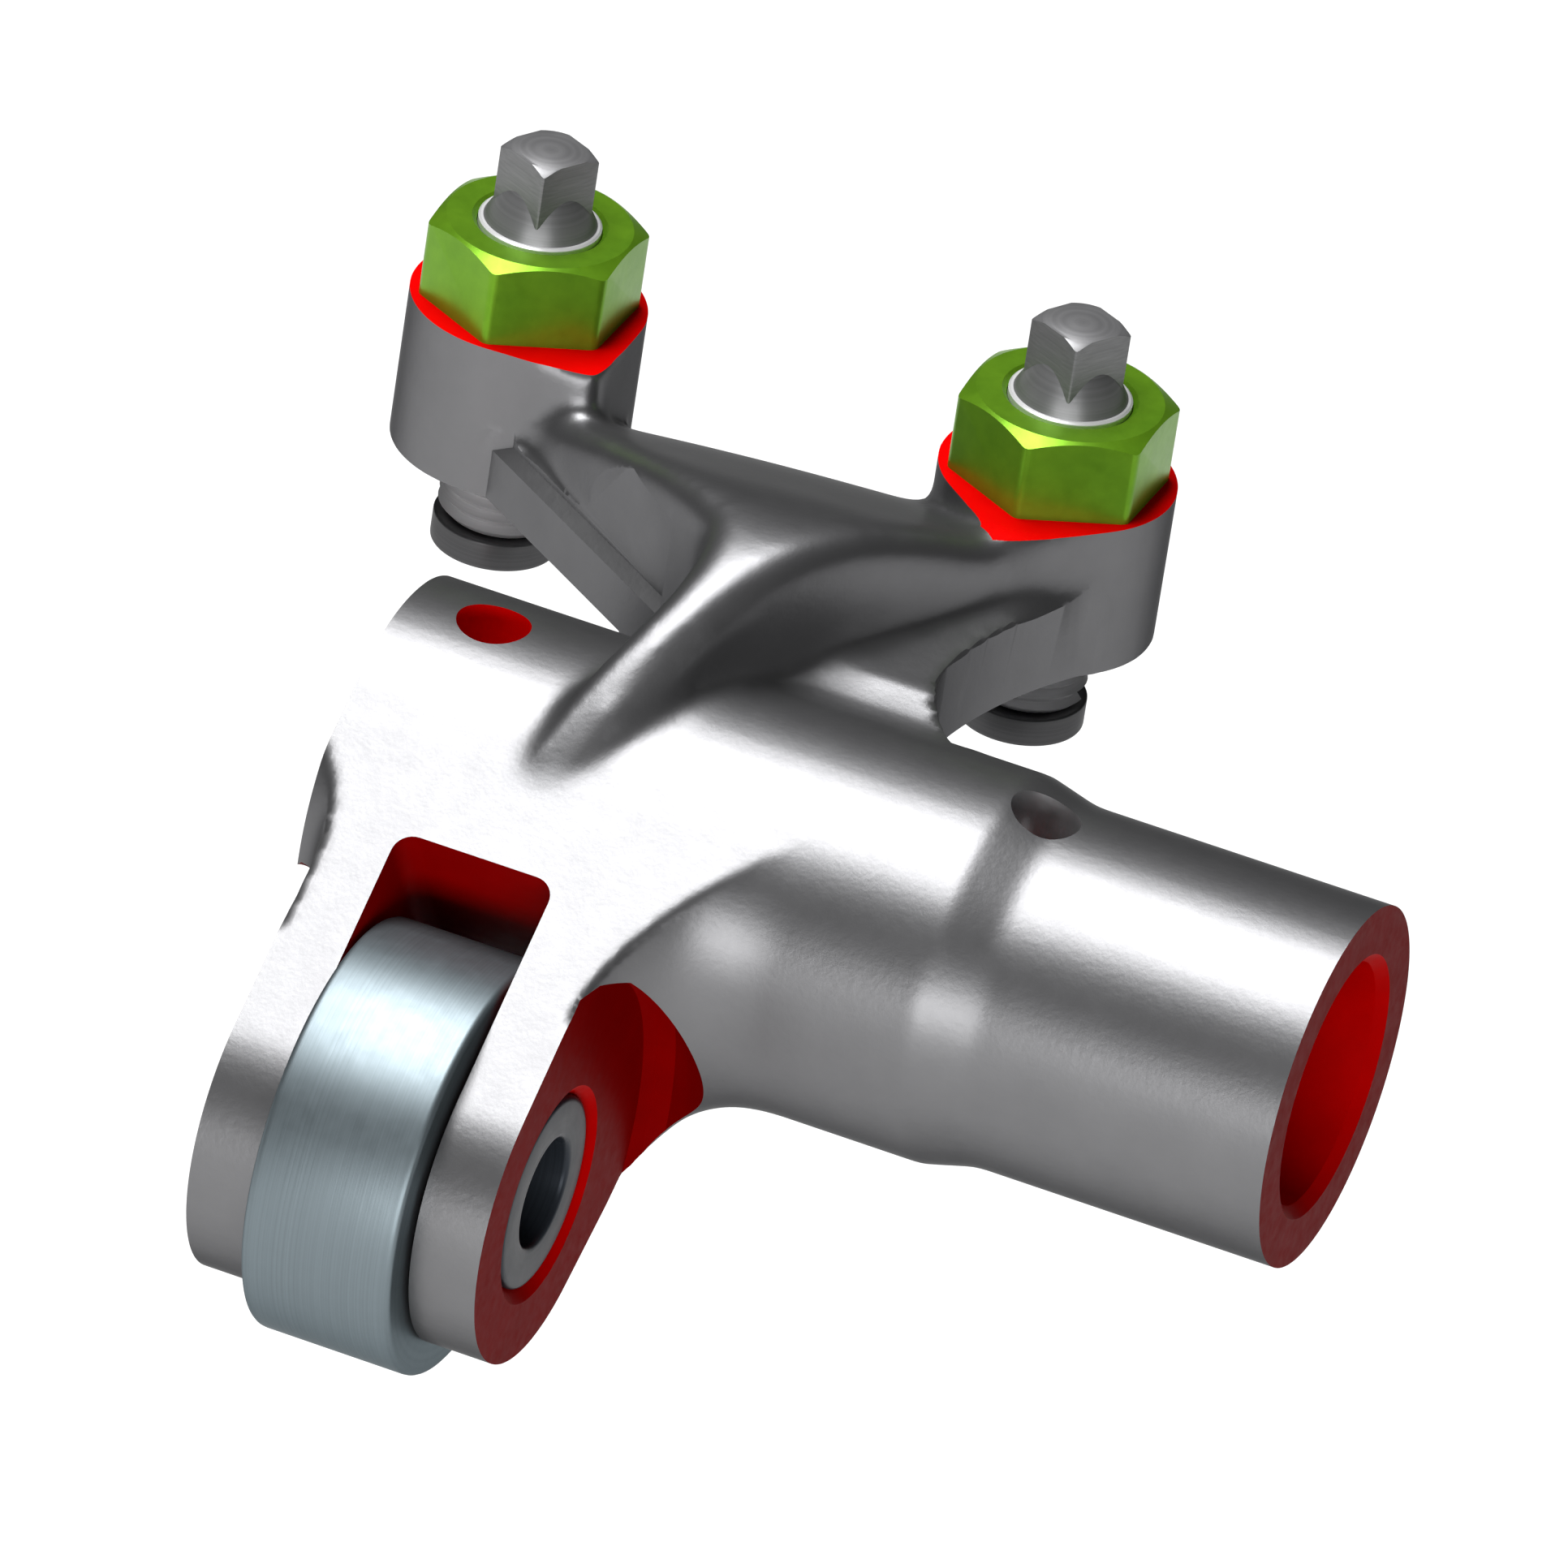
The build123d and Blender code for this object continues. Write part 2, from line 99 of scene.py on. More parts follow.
# Bosses, screws, nuts and feet. A square corner points from each boss to the arm.
SCREW_X = 16.2
SCREW_Y = 27.7
BOSS_R = 6.75
BOSS_BOTTOM = 6.0
BOSS_TOP = 15.2
CORNER_ANGLES = {-1: -42.0, 1: -86.0}
CORNER_SPARE = 0.4
FACING_HEIGHT = 6.0
TAP_R = 3.55
THREAD_R = 3.5
THREAD_ROOT_R = 3.05
THREAD_PITCH = 0.75
THREAD_LENGTH = 17.45
THREAD_START = 0.15
NUT_ACROSS_FLATS = 11.0
NUT_TOP = 20.2
NUT_TURN = 29.9
NUT_FACE_R = 5.3
NUT_EDGE = 0.35
NUT_COUNTERSINK = 0.3
SQUARE_ACROSS_FLATS = 4.05
SQUARE_TURN = 61.6
SQUARE_TOP = 24.8
SQUARE_CORNER_R = 2.86
SQUARE_CORNER_DROP = 0.4
SQUARE_TOP_R = 2.2
SQUARE_TOP_SLOPE = 0.6
CONE_FOOT_R = 3.3
CONE_SLOPE = math.tan(math.radians(29.0))
SCREW_BOTTOM = 1.55
FOOT_R = 3.65
FOOT_BOTTOM = -0.5
FOOT_TOP = 1.25
STUD_R = 1.5
STUD_BOTTOM = 1.0
STUD_HEAD_R = 2.1
STUD_HEAD_BOTTOM = 2.15
STUD_TOP = 3.35
STUD_PLAY = 0.06

# Oil holes: place along the hub and radius
OIL_LEFT = (-5.6, 2.1)
OIL_RIGHT = (27.6, 2.0)

# Flanges along both branches, with their outer edges in plan from the boss to the hub.
# The right edge starts at an angle on its boss and runs in two arcs.
LEFT_FLANGE_TOP = 9.6
LEFT_FLANGE_EDGE = [(-SCREW_X + 0.6, SCREW_Y - 6.0), (0.4, 9.65)]
LEDGE_BEVEL = 0.75
LEDGE_FALL = 1.3
LEDGE_WIDTH = 3.0
LEDGE_LEAD = 4.5
LEDGE_OVERRUN = 0.3
RIGHT_FLANGE_TOP = 11.3
RIGHT_FLANGE_START = -45.0
RIGHT_FLANGE_UPPER = (SCREW_X + 1.8, 15.6)
RIGHT_FLANGE_WAIST = (SCREW_X + 1.0, 10.6)
RIGHT_FLANGE_LOWER = (SCREW_X + 1.8, 7.2)
RIGHT_FLANGE_END = (SCREW_X + 4.2, 4.2)
TRIM = 0.7
TRIM_WIDTH = 3.5
LEFT_TRIM_START = (-SCREW_X - 5.8, SCREW_Y - 1.2)
KEEP_CLEAR = 0.03
KEEP_LOW = -5.0
KEEP_HIGH = 30.0

# Top line of the arm, which falls towards the left boss
CREST_Y = (-9.9, -4.8, 0.0, 7.5, 16.0, 24.0, 31.0)
CREST_Z = (5.5, 11.6, 15.6, 18.2, 15.9, 12.4, 7.6)
CREST_FALL = math.tan(math.radians(6.5))
CREST_FALL_FROM = 4.2

# Spine: Y, X, radius of its bead and extra height at each station
SPINE_STATIONS = (
    (-10.4, 0.2, 2.3, 0.3), (-7.5, 1.4, 2.3, 0.2), (-5.0, 2.6, 2.15, 0.1),
    (-2.0, 4.0, 2.0, 0.0), (0.6, 5.4, 1.9, 0.0), (3.0, 6.7, 1.85, 0.0),
)

# Skin of the forging
SKIN_GRID = 0.33
SKIN_SMOOTHING = 2
SMOOTHING_STEP = 0.5
FILLET_ROUNDS = 50
CREST_ROUNDS = 36

# Floor around the part, in metres: its shade where it is seen, its shade for the
# light that it throws back, and its own glow where it is seen
FLOOR_LEVEL = -0.12
FLOOR_R = 3.0
FLOOR_SEEN = 0.86
FLOOR_THROWN = 0.14
FLOOR_LIFT = 0.14

# Camera of the photograph: its own axes, its place in metres and its lens
CAMERA_RIGHT = (0.91185, 0.38835, 0.13309)
CAMERA_UP = (-0.30436, 0.42197, 0.85400)
CAMERA_BACK = (0.27549, -0.81923, 0.50297)
CAMERA_PLACE = (0.3168465, -0.9052101, 0.5629719)
CAMERA_LENS = 463.3175


# Surface finishes

def new_finish(name, colour, metallic, roughness):
    """Material with its shader, its node tree and a reading of Object coordinates."""
    material = bpy.data.materials.new(name)
    material.use_nodes = True
    tree = material.node_tree
    shader = tree.nodes["Principled BSDF"]
    shader.inputs["Base Color"].default_value = (*colour, 1.0)
    shader.inputs["Metallic"].default_value = metallic
    shader.inputs["Roughness"].default_value = roughness
    place = tree.nodes.new("ShaderNodeTexCoord").outputs["Object"]
    return material, tree, shader, place


def noise(tree, place, per_metre, detail=3.0, rough=0.55):
    """Noise pattern with its scale in cells per metre."""
    node = tree.nodes.new("ShaderNodeTexNoise")
    node.inputs["Scale"].default_value = per_metre
    node.inputs["Detail"].default_value = detail
    node.inputs["Roughness"].default_value = rough
    tree.links.new(place, node.inputs["Vector"])
    return node.outputs["Fac"]


def spread(tree, value, low, high):
    """Value of a noise pattern carried to the range from low to high."""
    node = tree.nodes.new("ShaderNodeMapRange")
    node.inputs["From Min"].default_value = 0.28
    node.inputs["From Max"].default_value = 0.72
    node.inputs["To Min"].default_value = low
    node.inputs["To Max"].default_value = high
    tree.links.new(value, node.inputs["Value"])
    return node.outputs["Result"]


def tinted(tree, value, dark, light):
    """Colour that runs from dark to light with a pattern."""
    ramp = tree.nodes.new("ShaderNodeValToRGB")
    for stop, position, colour in zip(ramp.color_ramp.elements, (0.3, 0.7), (dark, light)):
        stop.position = position
        stop.color = (*colour, 1.0)
    tree.links.new(value, ramp.inputs["Fac"])
    return ramp.outputs["Color"]


def relief(tree, shader, height, depth_mm, strength):
    """Surface relief of the given depth in millimetres."""
    bump = tree.nodes.new("ShaderNodeBump")
    bump.inputs["Strength"].default_value = strength
    bump.inputs["Distance"].default_value = depth_mm * MM
    tree.links.new(height, bump.inputs["Height"])
    tree.links.new(bump.outputs["Normal"], shader.inputs["Normal"])


def turning_lines(tree, place, axis, centre, per_metre):
    """Fine rings of a turned or ground surface about an axis along X or Z."""
    shift = tree.nodes.new("ShaderNodeMapping")
    shift.inputs["Location"].default_value = [-c * MM for c in centre]
    tree.links.new(place, shift.inputs["Vector"])
    parts = tree.nodes.new("ShaderNodeSeparateXYZ")
    tree.links.new(shift.outputs["Vector"], parts.inputs["Vector"])
    across = tree.nodes.new("ShaderNodeCombineXYZ")
    first, second, along = ("Y", "Z", "X") if axis == "X" else ("X", "Y", "Z")
    tree.links.new(parts.outputs[first], across.inputs["X"])
    tree.links.new(parts.outputs[second], across.inputs["Y"])
    radius = tree.nodes.new("ShaderNodeVectorMath")
    radius.operation = "LENGTH"
    tree.links.new(across.outputs["Vector"], radius.inputs[0])
    wider = tree.nodes.new("ShaderNodeMath")
    wider.operation = "MULTIPLY"
    wider.inputs[1].default_value = 0.3
    tree.links.new(radius.outputs["Value"], wider.inputs[0])
    rings = tree.nodes.new("ShaderNodeCombineXYZ")
    tree.links.new(wider.outputs["Value"], rings.inputs["X"])
    tree.links.new(parts.outputs[along], rings.inputs["Y"])
    return noise(tree, rings.outputs["Vector"], per_metre, 2.0, 0.6)


def forged_finish():
    """Smooth forged skin with a fine grain and faint mottling."""
    grey = (0.19, 0.19, 0.195)
    material, tree, shader, place = new_finish("forged_steel_skin", grey, 0.85, 0.38)
    mottle = noise(tree, place, 260.0, 4.0, 0.6)
    shade = tinted(tree, mottle, (0.184, 0.184, 0.189), (0.198, 0.198, 0.203))
    tree.links.new(shade, shader.inputs["Base Color"])
    patches = noise(tree, place, 900.0)
    tree.links.new(spread(tree, patches, 0.37, 0.39), shader.inputs["Roughness"])
    shader.inputs["Specular IOR Level"].default_value = 0.15
    shader.inputs["Specular Tint"].default_value = (0.15, 0.15, 0.15, 1.0)
    relief(tree, shader, noise(tree, place, 2600.0, 3.0, 0.6), 0.02, 0.5)
    return material


def red_lacquer(name, red):
    """Red lacquer that marks the machined faces, over faint tool lines."""
    material, tree, shader, place = new_finish(name, (red, 0.0, 0.0), 0.0, 0.5)
    cloud = noise(tree, place, 400.0)
    shade = tinted(tree, cloud, (0.94 * red, 0.0, 0.0), (1.06 * red, 0.0, 0.0))
    tree.links.new(shade, shader.inputs["Base Color"])
    shader.inputs["Specular IOR Level"].default_value = 0.02
    wear = noise(tree, place, 1500.0)
    tree.links.new(spread(tree, wear, 0.44, 0.56), shader.inputs["Roughness"])
    relief(tree, shader, turning_lines(tree, place, *AXLE_AXIS, 5000.0), 0.006, 0.5)
    return material


def bare_cut_steel():
    """Bare steel of the drilled and tapped holes."""
    material, tree, shader, place = new_finish("bare_cut_steel", (0.45, 0.45, 0.46), 0.8, 0.4)
    wear = noise(tree, place, 1800.0)
    tree.links.new(spread(tree, wear, 0.34, 0.48), shader.inputs["Roughness"])
    relief(tree, shader, noise(tree, place, 5200.0, 2.0), 0.01, 0.4)
    return material


def turned_steel(name, dark, light, metallic, rough, axis, centre):
    """Turned or ground steel with fine rings about its own axis."""
    material, tree, shader, place = new_finish(name, light, metallic, rough)
    shader.inputs["Specular Tint"].default_value = (0.25, 0.25, 0.25, 1.0)
    lines = turning_lines(tree, place, axis, centre, 7000.0)
    tree.links.new(tinted(tree, lines, dark, light), shader.inputs["Base Color"])
    haze = noise(tree, place, 1100.0)
    tree.links.new(spread(tree, haze, rough - 0.02, rough + 0.03), shader.inputs["Roughness"])
    relief(tree, shader, lines, 0.008, 0.6)
    return material


def green_coat():
    """Green coat of the lock nuts, a little paler where it is thin."""
    green = (0.15, 0.34, 0.012)
    material, tree, shader, place = new_finish("green_nut_coat", green, 0.6, 0.34)
    cloud = noise(tree, place, 500.0, 4.0, 0.6)
    shade = tinted(tree, cloud, (0.13, 0.31, 0.011), (0.17, 0.38, 0.015))
    tree.links.new(shade, shader.inputs["Base Color"])
    shader.inputs["Specular IOR Level"].default_value = 0.3
    wear = noise(tree, place, 1600.0)
    tree.links.new(spread(tree, wear, 0.32, 0.37), shader.inputs["Roughness"])
    relief(tree, shader, noise(tree, place, 3500.0), 0.006, 0.4)
    return material


# Mesh making

def new_piece(name, points, faces, finish):
    """Object from its corner points and faces."""
    mesh = bpy.data.meshes.new(name)
    mesh.from_pydata([tuple(p) for p in points], [], faces)
    mesh.materials.append(finish)
    piece = bpy.data.objects.new(name, mesh)
    bpy.context.scene.collection.objects.link(piece)
    return piece


def closed_up(piece, outwards=True):
    """Piece with its doubles merged and, where asked, its faces turned outwards."""
    form = bmesh.new()
    form.from_mesh(piece.data)
    bmesh.ops.remove_doubles(form, verts=form.verts, dist=MERGE_GAP)
    if outwards:
        bmesh.ops.recalc_face_normals(form, faces=form.faces)
    form.to_mesh(piece.data)
    form.free()
    return piece


def eased(profile, radius, steps=3):
    """Closed outline with each corner that is off the axis replaced by a small curve."""
    result = []
    count = len(profile)
    for i, corner in enumerate(profile):
        here = np.array(corner, float)
        if abs(here[0]) < 1e-6:
            result.append(tuple(here))
            continue
        before = np.array(profile[i - 1], float) - here
        after = np.array(profile[(i + 1) % count], float) - here
        reach = min(radius, np.linalg.norm(before) * 0.45, np.linalg.norm(after) * 0.45)
        start = here + before / np.linalg.norm(before) * reach
        end = here + after / np.linalg.norm(after) * reach
        for k in range(steps + 1):
            t = k / steps
            result.append(tuple((1 - t) ** 2 * start + 2 * t * (1 - t) * here + t * t * end))
    return result


def arc(centre, radius, start, end, steps):
    """Points of an arc between two angles in degrees."""
    x, y = centre
    angles = np.radians(np.linspace(start, end, steps + 1))
    return [(x + radius * math.cos(a), y + radius * math.sin(a)) for a in angles]


def circle(centre, radius):
    """Plan of a round boss or cutter, with 96 corners."""
    return arc(centre, radius, 0, 356.25, 95)


def square_corners(half):
    """Corners of a square about the origin."""
    return [(-half, -half), (half, -half), (half, half), (-half, half)]


def bar(low, high, outer, inner=0):
    """Profile of a round bar or tube between two heights."""
    return [(inner, low), (outer, low), (outer, high), (inner, high)]


def bored(low, high, radius, chamfer):
    """Profile of a cutter for a bore with a chamfer at each mouth."""
    wide = radius + chamfer
    return [
        (0, low - OVERCUT), (wide, low - OVERCUT), (wide, low), (radius, low + chamfer),
        (radius, high - chamfer), (wide, high), (wide, high + OVERCUT), (0, high + OVERCUT),
    ]


def screw_axis(side):
    """Axis of the screw on one side."""
    return "Z", (side * SCREW_X, SCREW_Y, 0)


def turned(name, profile, axis, centre, finish, steps=96):
    """Solid turned from (radius, height) corners about an axis along X or Z."""
    points = []
    faces = []
    count = len(profile)
    for i in range(steps):
        a = 2 * math.pi * i / steps
        for r, h in profile:
            local = (h, r * math.cos(a), r * math.sin(a))
            if axis == "Z":
                local = (local[1], local[2], h)
            points.append([c + p for c, p in zip(centre, local)])
        for j in range(count):
            k = (j + 1) % count
            if abs(profile[j][0]) < 1e-9 and abs(profile[k][0]) < 1e-9:
                continue
            n = (i + 1) % steps
            faces.append((i * count + j, i * count + k, n * count + k, n * count + j))
    return closed_up(new_piece(name, points, faces, finish))


def extruded(name, outline, start, along, across, up, reach, finish):
    """Prism over an outline drawn in across and up from start, reaching along."""
    start, along = np.array(start, float), np.array(along, float)
    across, up = np.array(across, float), np.array(up, float)
    low = [start + across * u + up * v for u, v in outline]
    high = [p + along * reach for p in low]
    count = len(outline)
    sides = [(i, (i + 1) % count, (i + 1) % count + count, i + count) for i in range(count)]
    caps = [tuple(range(count)), tuple(range(count, 2 * count))]
    return closed_up(new_piece(name, low + high, sides + caps, finish))


def upright(name, outline, low, high, finish):
    """Prism over a plan outline between two heights."""
    return extruded(
        name, outline, (0, 0, low), (0, 0, 1), (1, 0, 0), (0, 1, 0), high - low, finish
    )


def lengthwise(name, outline, start, reach, finish):
    """Prism over an outline in Y and Z, reaching along X from start."""
    return extruded(
        name, outline, (start, 0, 0), (1, 0, 0), (0, 1, 0), (0, 0, 1), reach, finish
    )


def settled(piece):
    """The piece with its modifiers made part of its mesh."""
    graph = bpy.context.evaluated_depsgraph_get()
    mesh = bpy.data.meshes.new_from_object(piece.evaluated_get(graph))
    piece.modifiers.clear()
    old = piece.data
    piece.data = mesh
    mesh.name = old.name
    bpy.data.meshes.remove(old)
    return piece


def joined(name, pieces):
    """One object from several, with their finishes kept."""
    whole = pieces[0]
    with bpy.context.temp_override(
        active_object=whole, selected_objects=pieces, selected_editable_objects=pieces
    ):
        bpy.ops.object.join()
    whole.name = name
    return whole


def carved(body, cutter, operation="DIFFERENCE"):
    """Body after a cut that leaves the finish of the cutter on the new faces."""
    cut = body.modifiers.new("cut", "BOOLEAN")
    cut.operation = operation
    cut.solver = "MANIFOLD"
    cut.material_mode = "TRANSFER"
    cut.object = cutter
    settled(body)
    bpy.data.objects.remove(cutter)
    return body


def dressed(piece, angle=32.0):
    """Smooth shading with edges kept sharp past an angle."""
    piece.data.shade_smooth()
    piece.data.set_sharp_from_angle(angle=math.radians(angle))
    return piece


def placed(piece, body, slot_name, *nodes):
    """Finished piece in metres, on its body and in place of its CAD nodes."""
    piece.data.transform(Matrix.Scale(MM, 4))
    piece.data.update()
    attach(piece, body)
    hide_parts(*nodes)


# Forging

def cad_copy(node, finish):
    """Copy of a CAD node in millimetres with its loose triangles merged."""
    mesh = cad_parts[node].data.copy()
    mesh.transform(Matrix.Scale(1 / MM, 4))
    mesh.materials.clear()
    mesh.materials.append(finish)
    piece = bpy.data.objects.new(node + "_copy", mesh)
    bpy.context.scene.collection.objects.link(piece)
    return closed_up(piece, outwards=False)


def hub_stock(finish):
    """Hub without its bore, left a little long at both ends."""
    profile = [
        (0, HUB_LEFT - MACHINING_SPARE),
        (HUB_R, HUB_LEFT - MACHINING_SPARE),
        (HUB_R, STEP_START),
        (TUBE_R, STEP_END),
        (TUBE_R, HUB_RIGHT + MACHINING_SPARE),
        (0, HUB_RIGHT + MACHINING_SPARE),
    ]
    return turned("hub_stock", profile, *HUB_AXIS, finish, 160)


def fork_side_outline():
    """Side outline of the fork in Y and Z: hub circle, ear circle and their tangents."""
    lean = math.asin((HUB_R - EAR_R) / AXLE_REACH)
    axis = math.pi + AXLE_ANGLE
    upper = math.degrees(axis - math.pi / 2 + lean)
    lower = math.degrees(axis + math.pi / 2 - lean)
    ear = arc((AXLE_Y, AXLE_Z), EAR_R, upper, lower, 48)
    hub = arc((0, 0), HUB_R, lower, upper + 360, 48)
    return ear + hub


def fork_stock(finish):
    """Fork before its slot, with the hollow runs out to the hub on both sides."""
    left = HUB_LEFT - MACHINING_SPARE
    right = EAR_OUT + RIGHT_FLARE_R
    prism = lengthwise("fork_stock", fork_side_outline(), left, right - left, finish)
    reach = HUB_R + AXLE_REACH
    left_middle = (-EAR_OUT - LEFT_FLARE_R, HUB_R + LEFT_FLARE_R)
    left_turn = math.degrees(math.acos((-EAR_OUT - left) / LEFT_FLARE_R))
    left_run = arc(left_middle, LEFT_FLARE_R, 0, -left_turn, 10)
    left_run = [p for p in left_run if p[0] > left] + [(left, HUB_R + FLARE_LIP)]
    right_run = arc((right, HUB_R + RIGHT_FLARE_R), RIGHT_FLARE_R, 180, 270, 16)
    line = [(left, 0)] + left_run[::-1] + [(-EAR_OUT, reach), (EAR_OUT, reach)] + right_run
    line += [(right, 0)]
    limit = turned("fork_limit", [(r, x) for x, r in line], *HUB_AXIS, finish, 160)
    return carved(prism, limit, "INTERSECT")


def ear_stock(finish):
    """Spare thickness on the outer faces of both ears, inside the reach of the spot cuts."""
    out = EAR_OUT + MACHINING_SPARE
    prism = lengthwise("ear_stock", fork_side_outline(), -out, 2 * out, finish)
    profile = bar(-EAR_OUT - 2, EAR_OUT + 2, EAR_STOCK_R)
    limit = turned("ear_limit", profile, *AXLE_AXIS, finish, 128)
    return carved(prism, limit, "INTERSECT")


def corner_outline(side, grow=0.0):
    """Plan of the square corner that joins a boss to the arm."""
    x = side * SCREW_X
    angle = CORNER_ANGLES[side]
    reach = BOSS_R + grow
    result = [(x, SCREW_Y)]
    for turn, r in ((-45, reach), (0, reach * math.sqrt(2)), (45, reach)):
        a = math.radians(angle + turn)
        result.append((x + r * math.cos(a), SCREW_Y + r * math.sin(a)))
    return result


def boss_stock(side, finish):
    """Boss and its square corner, left a little high."""
    plan = circle((side * SCREW_X, SCREW_Y), BOSS_R)
    boss = upright("boss", plan, BOSS_BOTTOM - TRIM, BOSS_TOP + MACHINING_SPARE, finish)
    corner_top = BOSS_TOP + CORNER_SPARE
    corner = upright("boss_corner", corner_outline(side), BOSS_BOTTOM, corner_top, finish)
    return joined("boss_stock", [boss, corner])


def arc_through(a, b, c, steps=20):
    """Points of the arc from a through b to c."""
    a, b, c = (np.array(p, float) for p in (a, b, c))
    rows = np.array((b - a, c - a)) * 2
    centre = np.linalg.solve(rows, np.array((b @ b - a @ a, c @ c - a @ a)))
    radius = np.linalg.norm(a - centre)
    first, middle, last = (math.atan2(*(p - centre)[::-1]) for p in (a, b, c))
    turn = (last - first + math.pi) % (2 * math.pi) - math.pi
    if ((middle - first + math.pi) % (2 * math.pi) - math.pi) * turn < 0:
        turn -= math.copysign(2 * math.pi, turn)
    angles = [first + turn * i / steps for i in range(steps + 1)]
    return [tuple(centre + radius * np.array((math.cos(t), math.sin(t)))) for t in angles]


def right_flange_edge():
    """Outer edge in plan of the flange along the right branch, from the boss to the hub."""
    a = math.radians(RIGHT_FLANGE_START)
    start = (SCREW_X + BOSS_R * math.cos(a), SCREW_Y + BOSS_R * math.sin(a))
    upper = arc_through(start, RIGHT_FLANGE_UPPER, RIGHT_FLANGE_WAIST)
    lower = arc_through(RIGHT_FLANGE_WAIST, RIGHT_FLANGE_LOWER, RIGHT_FLANGE_END)
    return upper + lower[1:]


def directions(points):
    """Direction of a line of points at each of them."""
    run = np.gradient(points, axis=0)
    return run / np.linalg.norm(run, axis=1)[:, None]


def beside(edge, distance):
    """Edge in plan moved sideways, to the right of its own direction."""
    points = np.array(edge, float)
    run = directions(points)
    return [tuple(p) for p in points + distance * np.column_stack((run[:, 1], -run[:, 0]))]


def flange_stock(finish):
    """Flanges of both branches, left a little wide and deep for trimming.

    The last corners of both plans lie inside the arm and the bosses.
    """
    left = [beside(LEFT_FLANGE_EDGE, TRIM)[0], beside(LEFT_FLANGE_EDGE, 0.1)[1]]
    left = [(-SCREW_X, SCREW_Y)] + left + [(4.0, 7.0), (4.0, 26.0), (-SCREW_X, 28.0)]
    right = beside(right_flange_edge(), -TRIM) + [(4.0, 4.2), (4.0, 26.0), (SCREW_X, 28.0)]
    low = BOSS_BOTTOM - TRIM
    return [
        upright("left_flange", left, low, LEFT_FLANGE_TOP, finish),
        upright("right_flange", right, low, RIGHT_FLANGE_TOP - 1.0, finish),
    ]


def clear_of_boss_and_hub(cutter, side, finish):
    """Trimming cut that leaves a boss, its square corner and the hub as they are."""
    boss = bar(KEEP_LOW, KEEP_HIGH, BOSS_R + KEEP_CLEAR)
    corner = corner_outline(side, KEEP_CLEAR)
    carved(cutter, turned("boss_keep", boss, *screw_axis(side), finish, 144))
    carved(cutter, upright("corner_keep", corner, KEEP_LOW, KEEP_HIGH, finish))
    return carved(cutter, turned("hub_keep", bar(-30, 40, HUB_R), *HUB_AXIS, finish, 160))


def ledge_cutter(finish):
    """Cut that leaves a bevelled ledge between the left flange and the wall over it."""
    start, end = (np.array(p) for p in LEFT_FLANGE_EDGE)
    run = (end - start) / np.linalg.norm(end - start)
    out = np.array((run[1], -run[0]))
    start = start - LEDGE_LEAD * run
    low = LEFT_FLANGE_TOP - LEDGE_FALL
    outline = [
        (-LEDGE_BEVEL, LEFT_FLANGE_TOP), (1.0, low), (LEDGE_WIDTH, low),
        (LEDGE_WIDTH, BOSS_TOP), (-LEDGE_BEVEL, BOSS_TOP),
    ]
    reach = np.linalg.norm(end - start) + LEDGE_OVERRUN
    cutter = extruded(
        "ledge_cutter", outline, (*start, 0), (*run, 0), (*out, 0), (0, 0, 1), reach, finish
    )
    return clear_of_boss_and_hub(cutter, -1, finish)


def trim_cutters(finish):
    """Cuts that trim the outer faces and the undersides of the flanges and bosses.

    The side cuts start well round the bosses, so that they leave no sliver there.
    """
    cutters = []
    left = [LEFT_TRIM_START] + LEFT_FLANGE_EDGE
    right = arc((SCREW_X, SCREW_Y), BOSS_R - 0.3, 20, -35, 12) + right_flange_edge()
    for side, edge, away in ((-1, left, TRIM_WIDTH), (1, right, -TRIM_WIDTH)):
        plan = edge + beside(edge, away)[::-1]
        cutter = upright("flange_trim", plan, BOSS_BOTTOM - 2.0, BOSS_TOP + 3.0, finish)
        cutters.append(clear_of_boss_and_hub(cutter, side, finish))
    cutters.append(ledge_cutter(finish))
    plan = [(-26, 11.8), (26, 11.8), (26, 40), (-26, 40)]
    cutters.append(upright("bottom_trim", plan, BOSS_BOTTOM - 5.0, BOSS_BOTTOM, finish))
    return cutters


def spine_bead(finish):
    """Rounded bead along the top of the spine, from its tip to the crest."""
    y, x, r, extra = np.array(SPINE_STATIONS).T
    top = np.column_stack((x, y, np.zeros(len(y))))
    top[:, 2] = crest_height(top) + extra
    run = directions(top)
    across = np.cross(run, (0, 0, 1))
    across /= np.linalg.norm(across, axis=1)[:, None]
    up = np.cross(across, run)
    middle = top - up * r[:, None]
    angles = np.radians(np.arange(0, 360, 15))
    n = len(angles)
    last = (len(y) - 1) * n
    points = [
        middle[i] + r[i] * (across[i] * math.cos(a) + up[i] * math.sin(a))
        for i in range(len(y)) for a in angles
    ]
    faces = [
        (i + j, i + (j + 1) % n, i + n + (j + 1) % n, i + n + j)
        for i in range(0, last, n) for j in range(n)
    ]
    faces += [tuple(range(n)), tuple(range(last, last + n))]
    return closed_up(new_piece("spine_bead", points, faces, finish))


def mesh_arrays(mesh):
    """Points, normals and edge ends of a mesh."""
    count = len(mesh.vertices)
    points = np.empty(count * 3, np.float64)
    normals = np.empty(count * 3, np.float64)
    ends = np.empty(len(mesh.edges) * 2, np.int64)
    mesh.vertices.foreach_get("co", points)
    mesh.vertices.foreach_get("normal", normals)
    mesh.edges.foreach_get("vertices", ends)
    return points.reshape(-1, 3), normals.reshape(-1, 3), ends.reshape(-1, 2)


def neighbour_mean(points, ends):
    """Mean place of the neighbours of each point."""
    count = len(points)
    a, b = ends.T
    share = np.bincount(a, minlength=count) + np.bincount(b, minlength=count)
    total = np.empty_like(points)
    for k in range(3):
        total[:, k] = np.bincount(a, points[b, k], count)
        total[:, k] += np.bincount(b, points[a, k], count)
    return total / share[:, None]


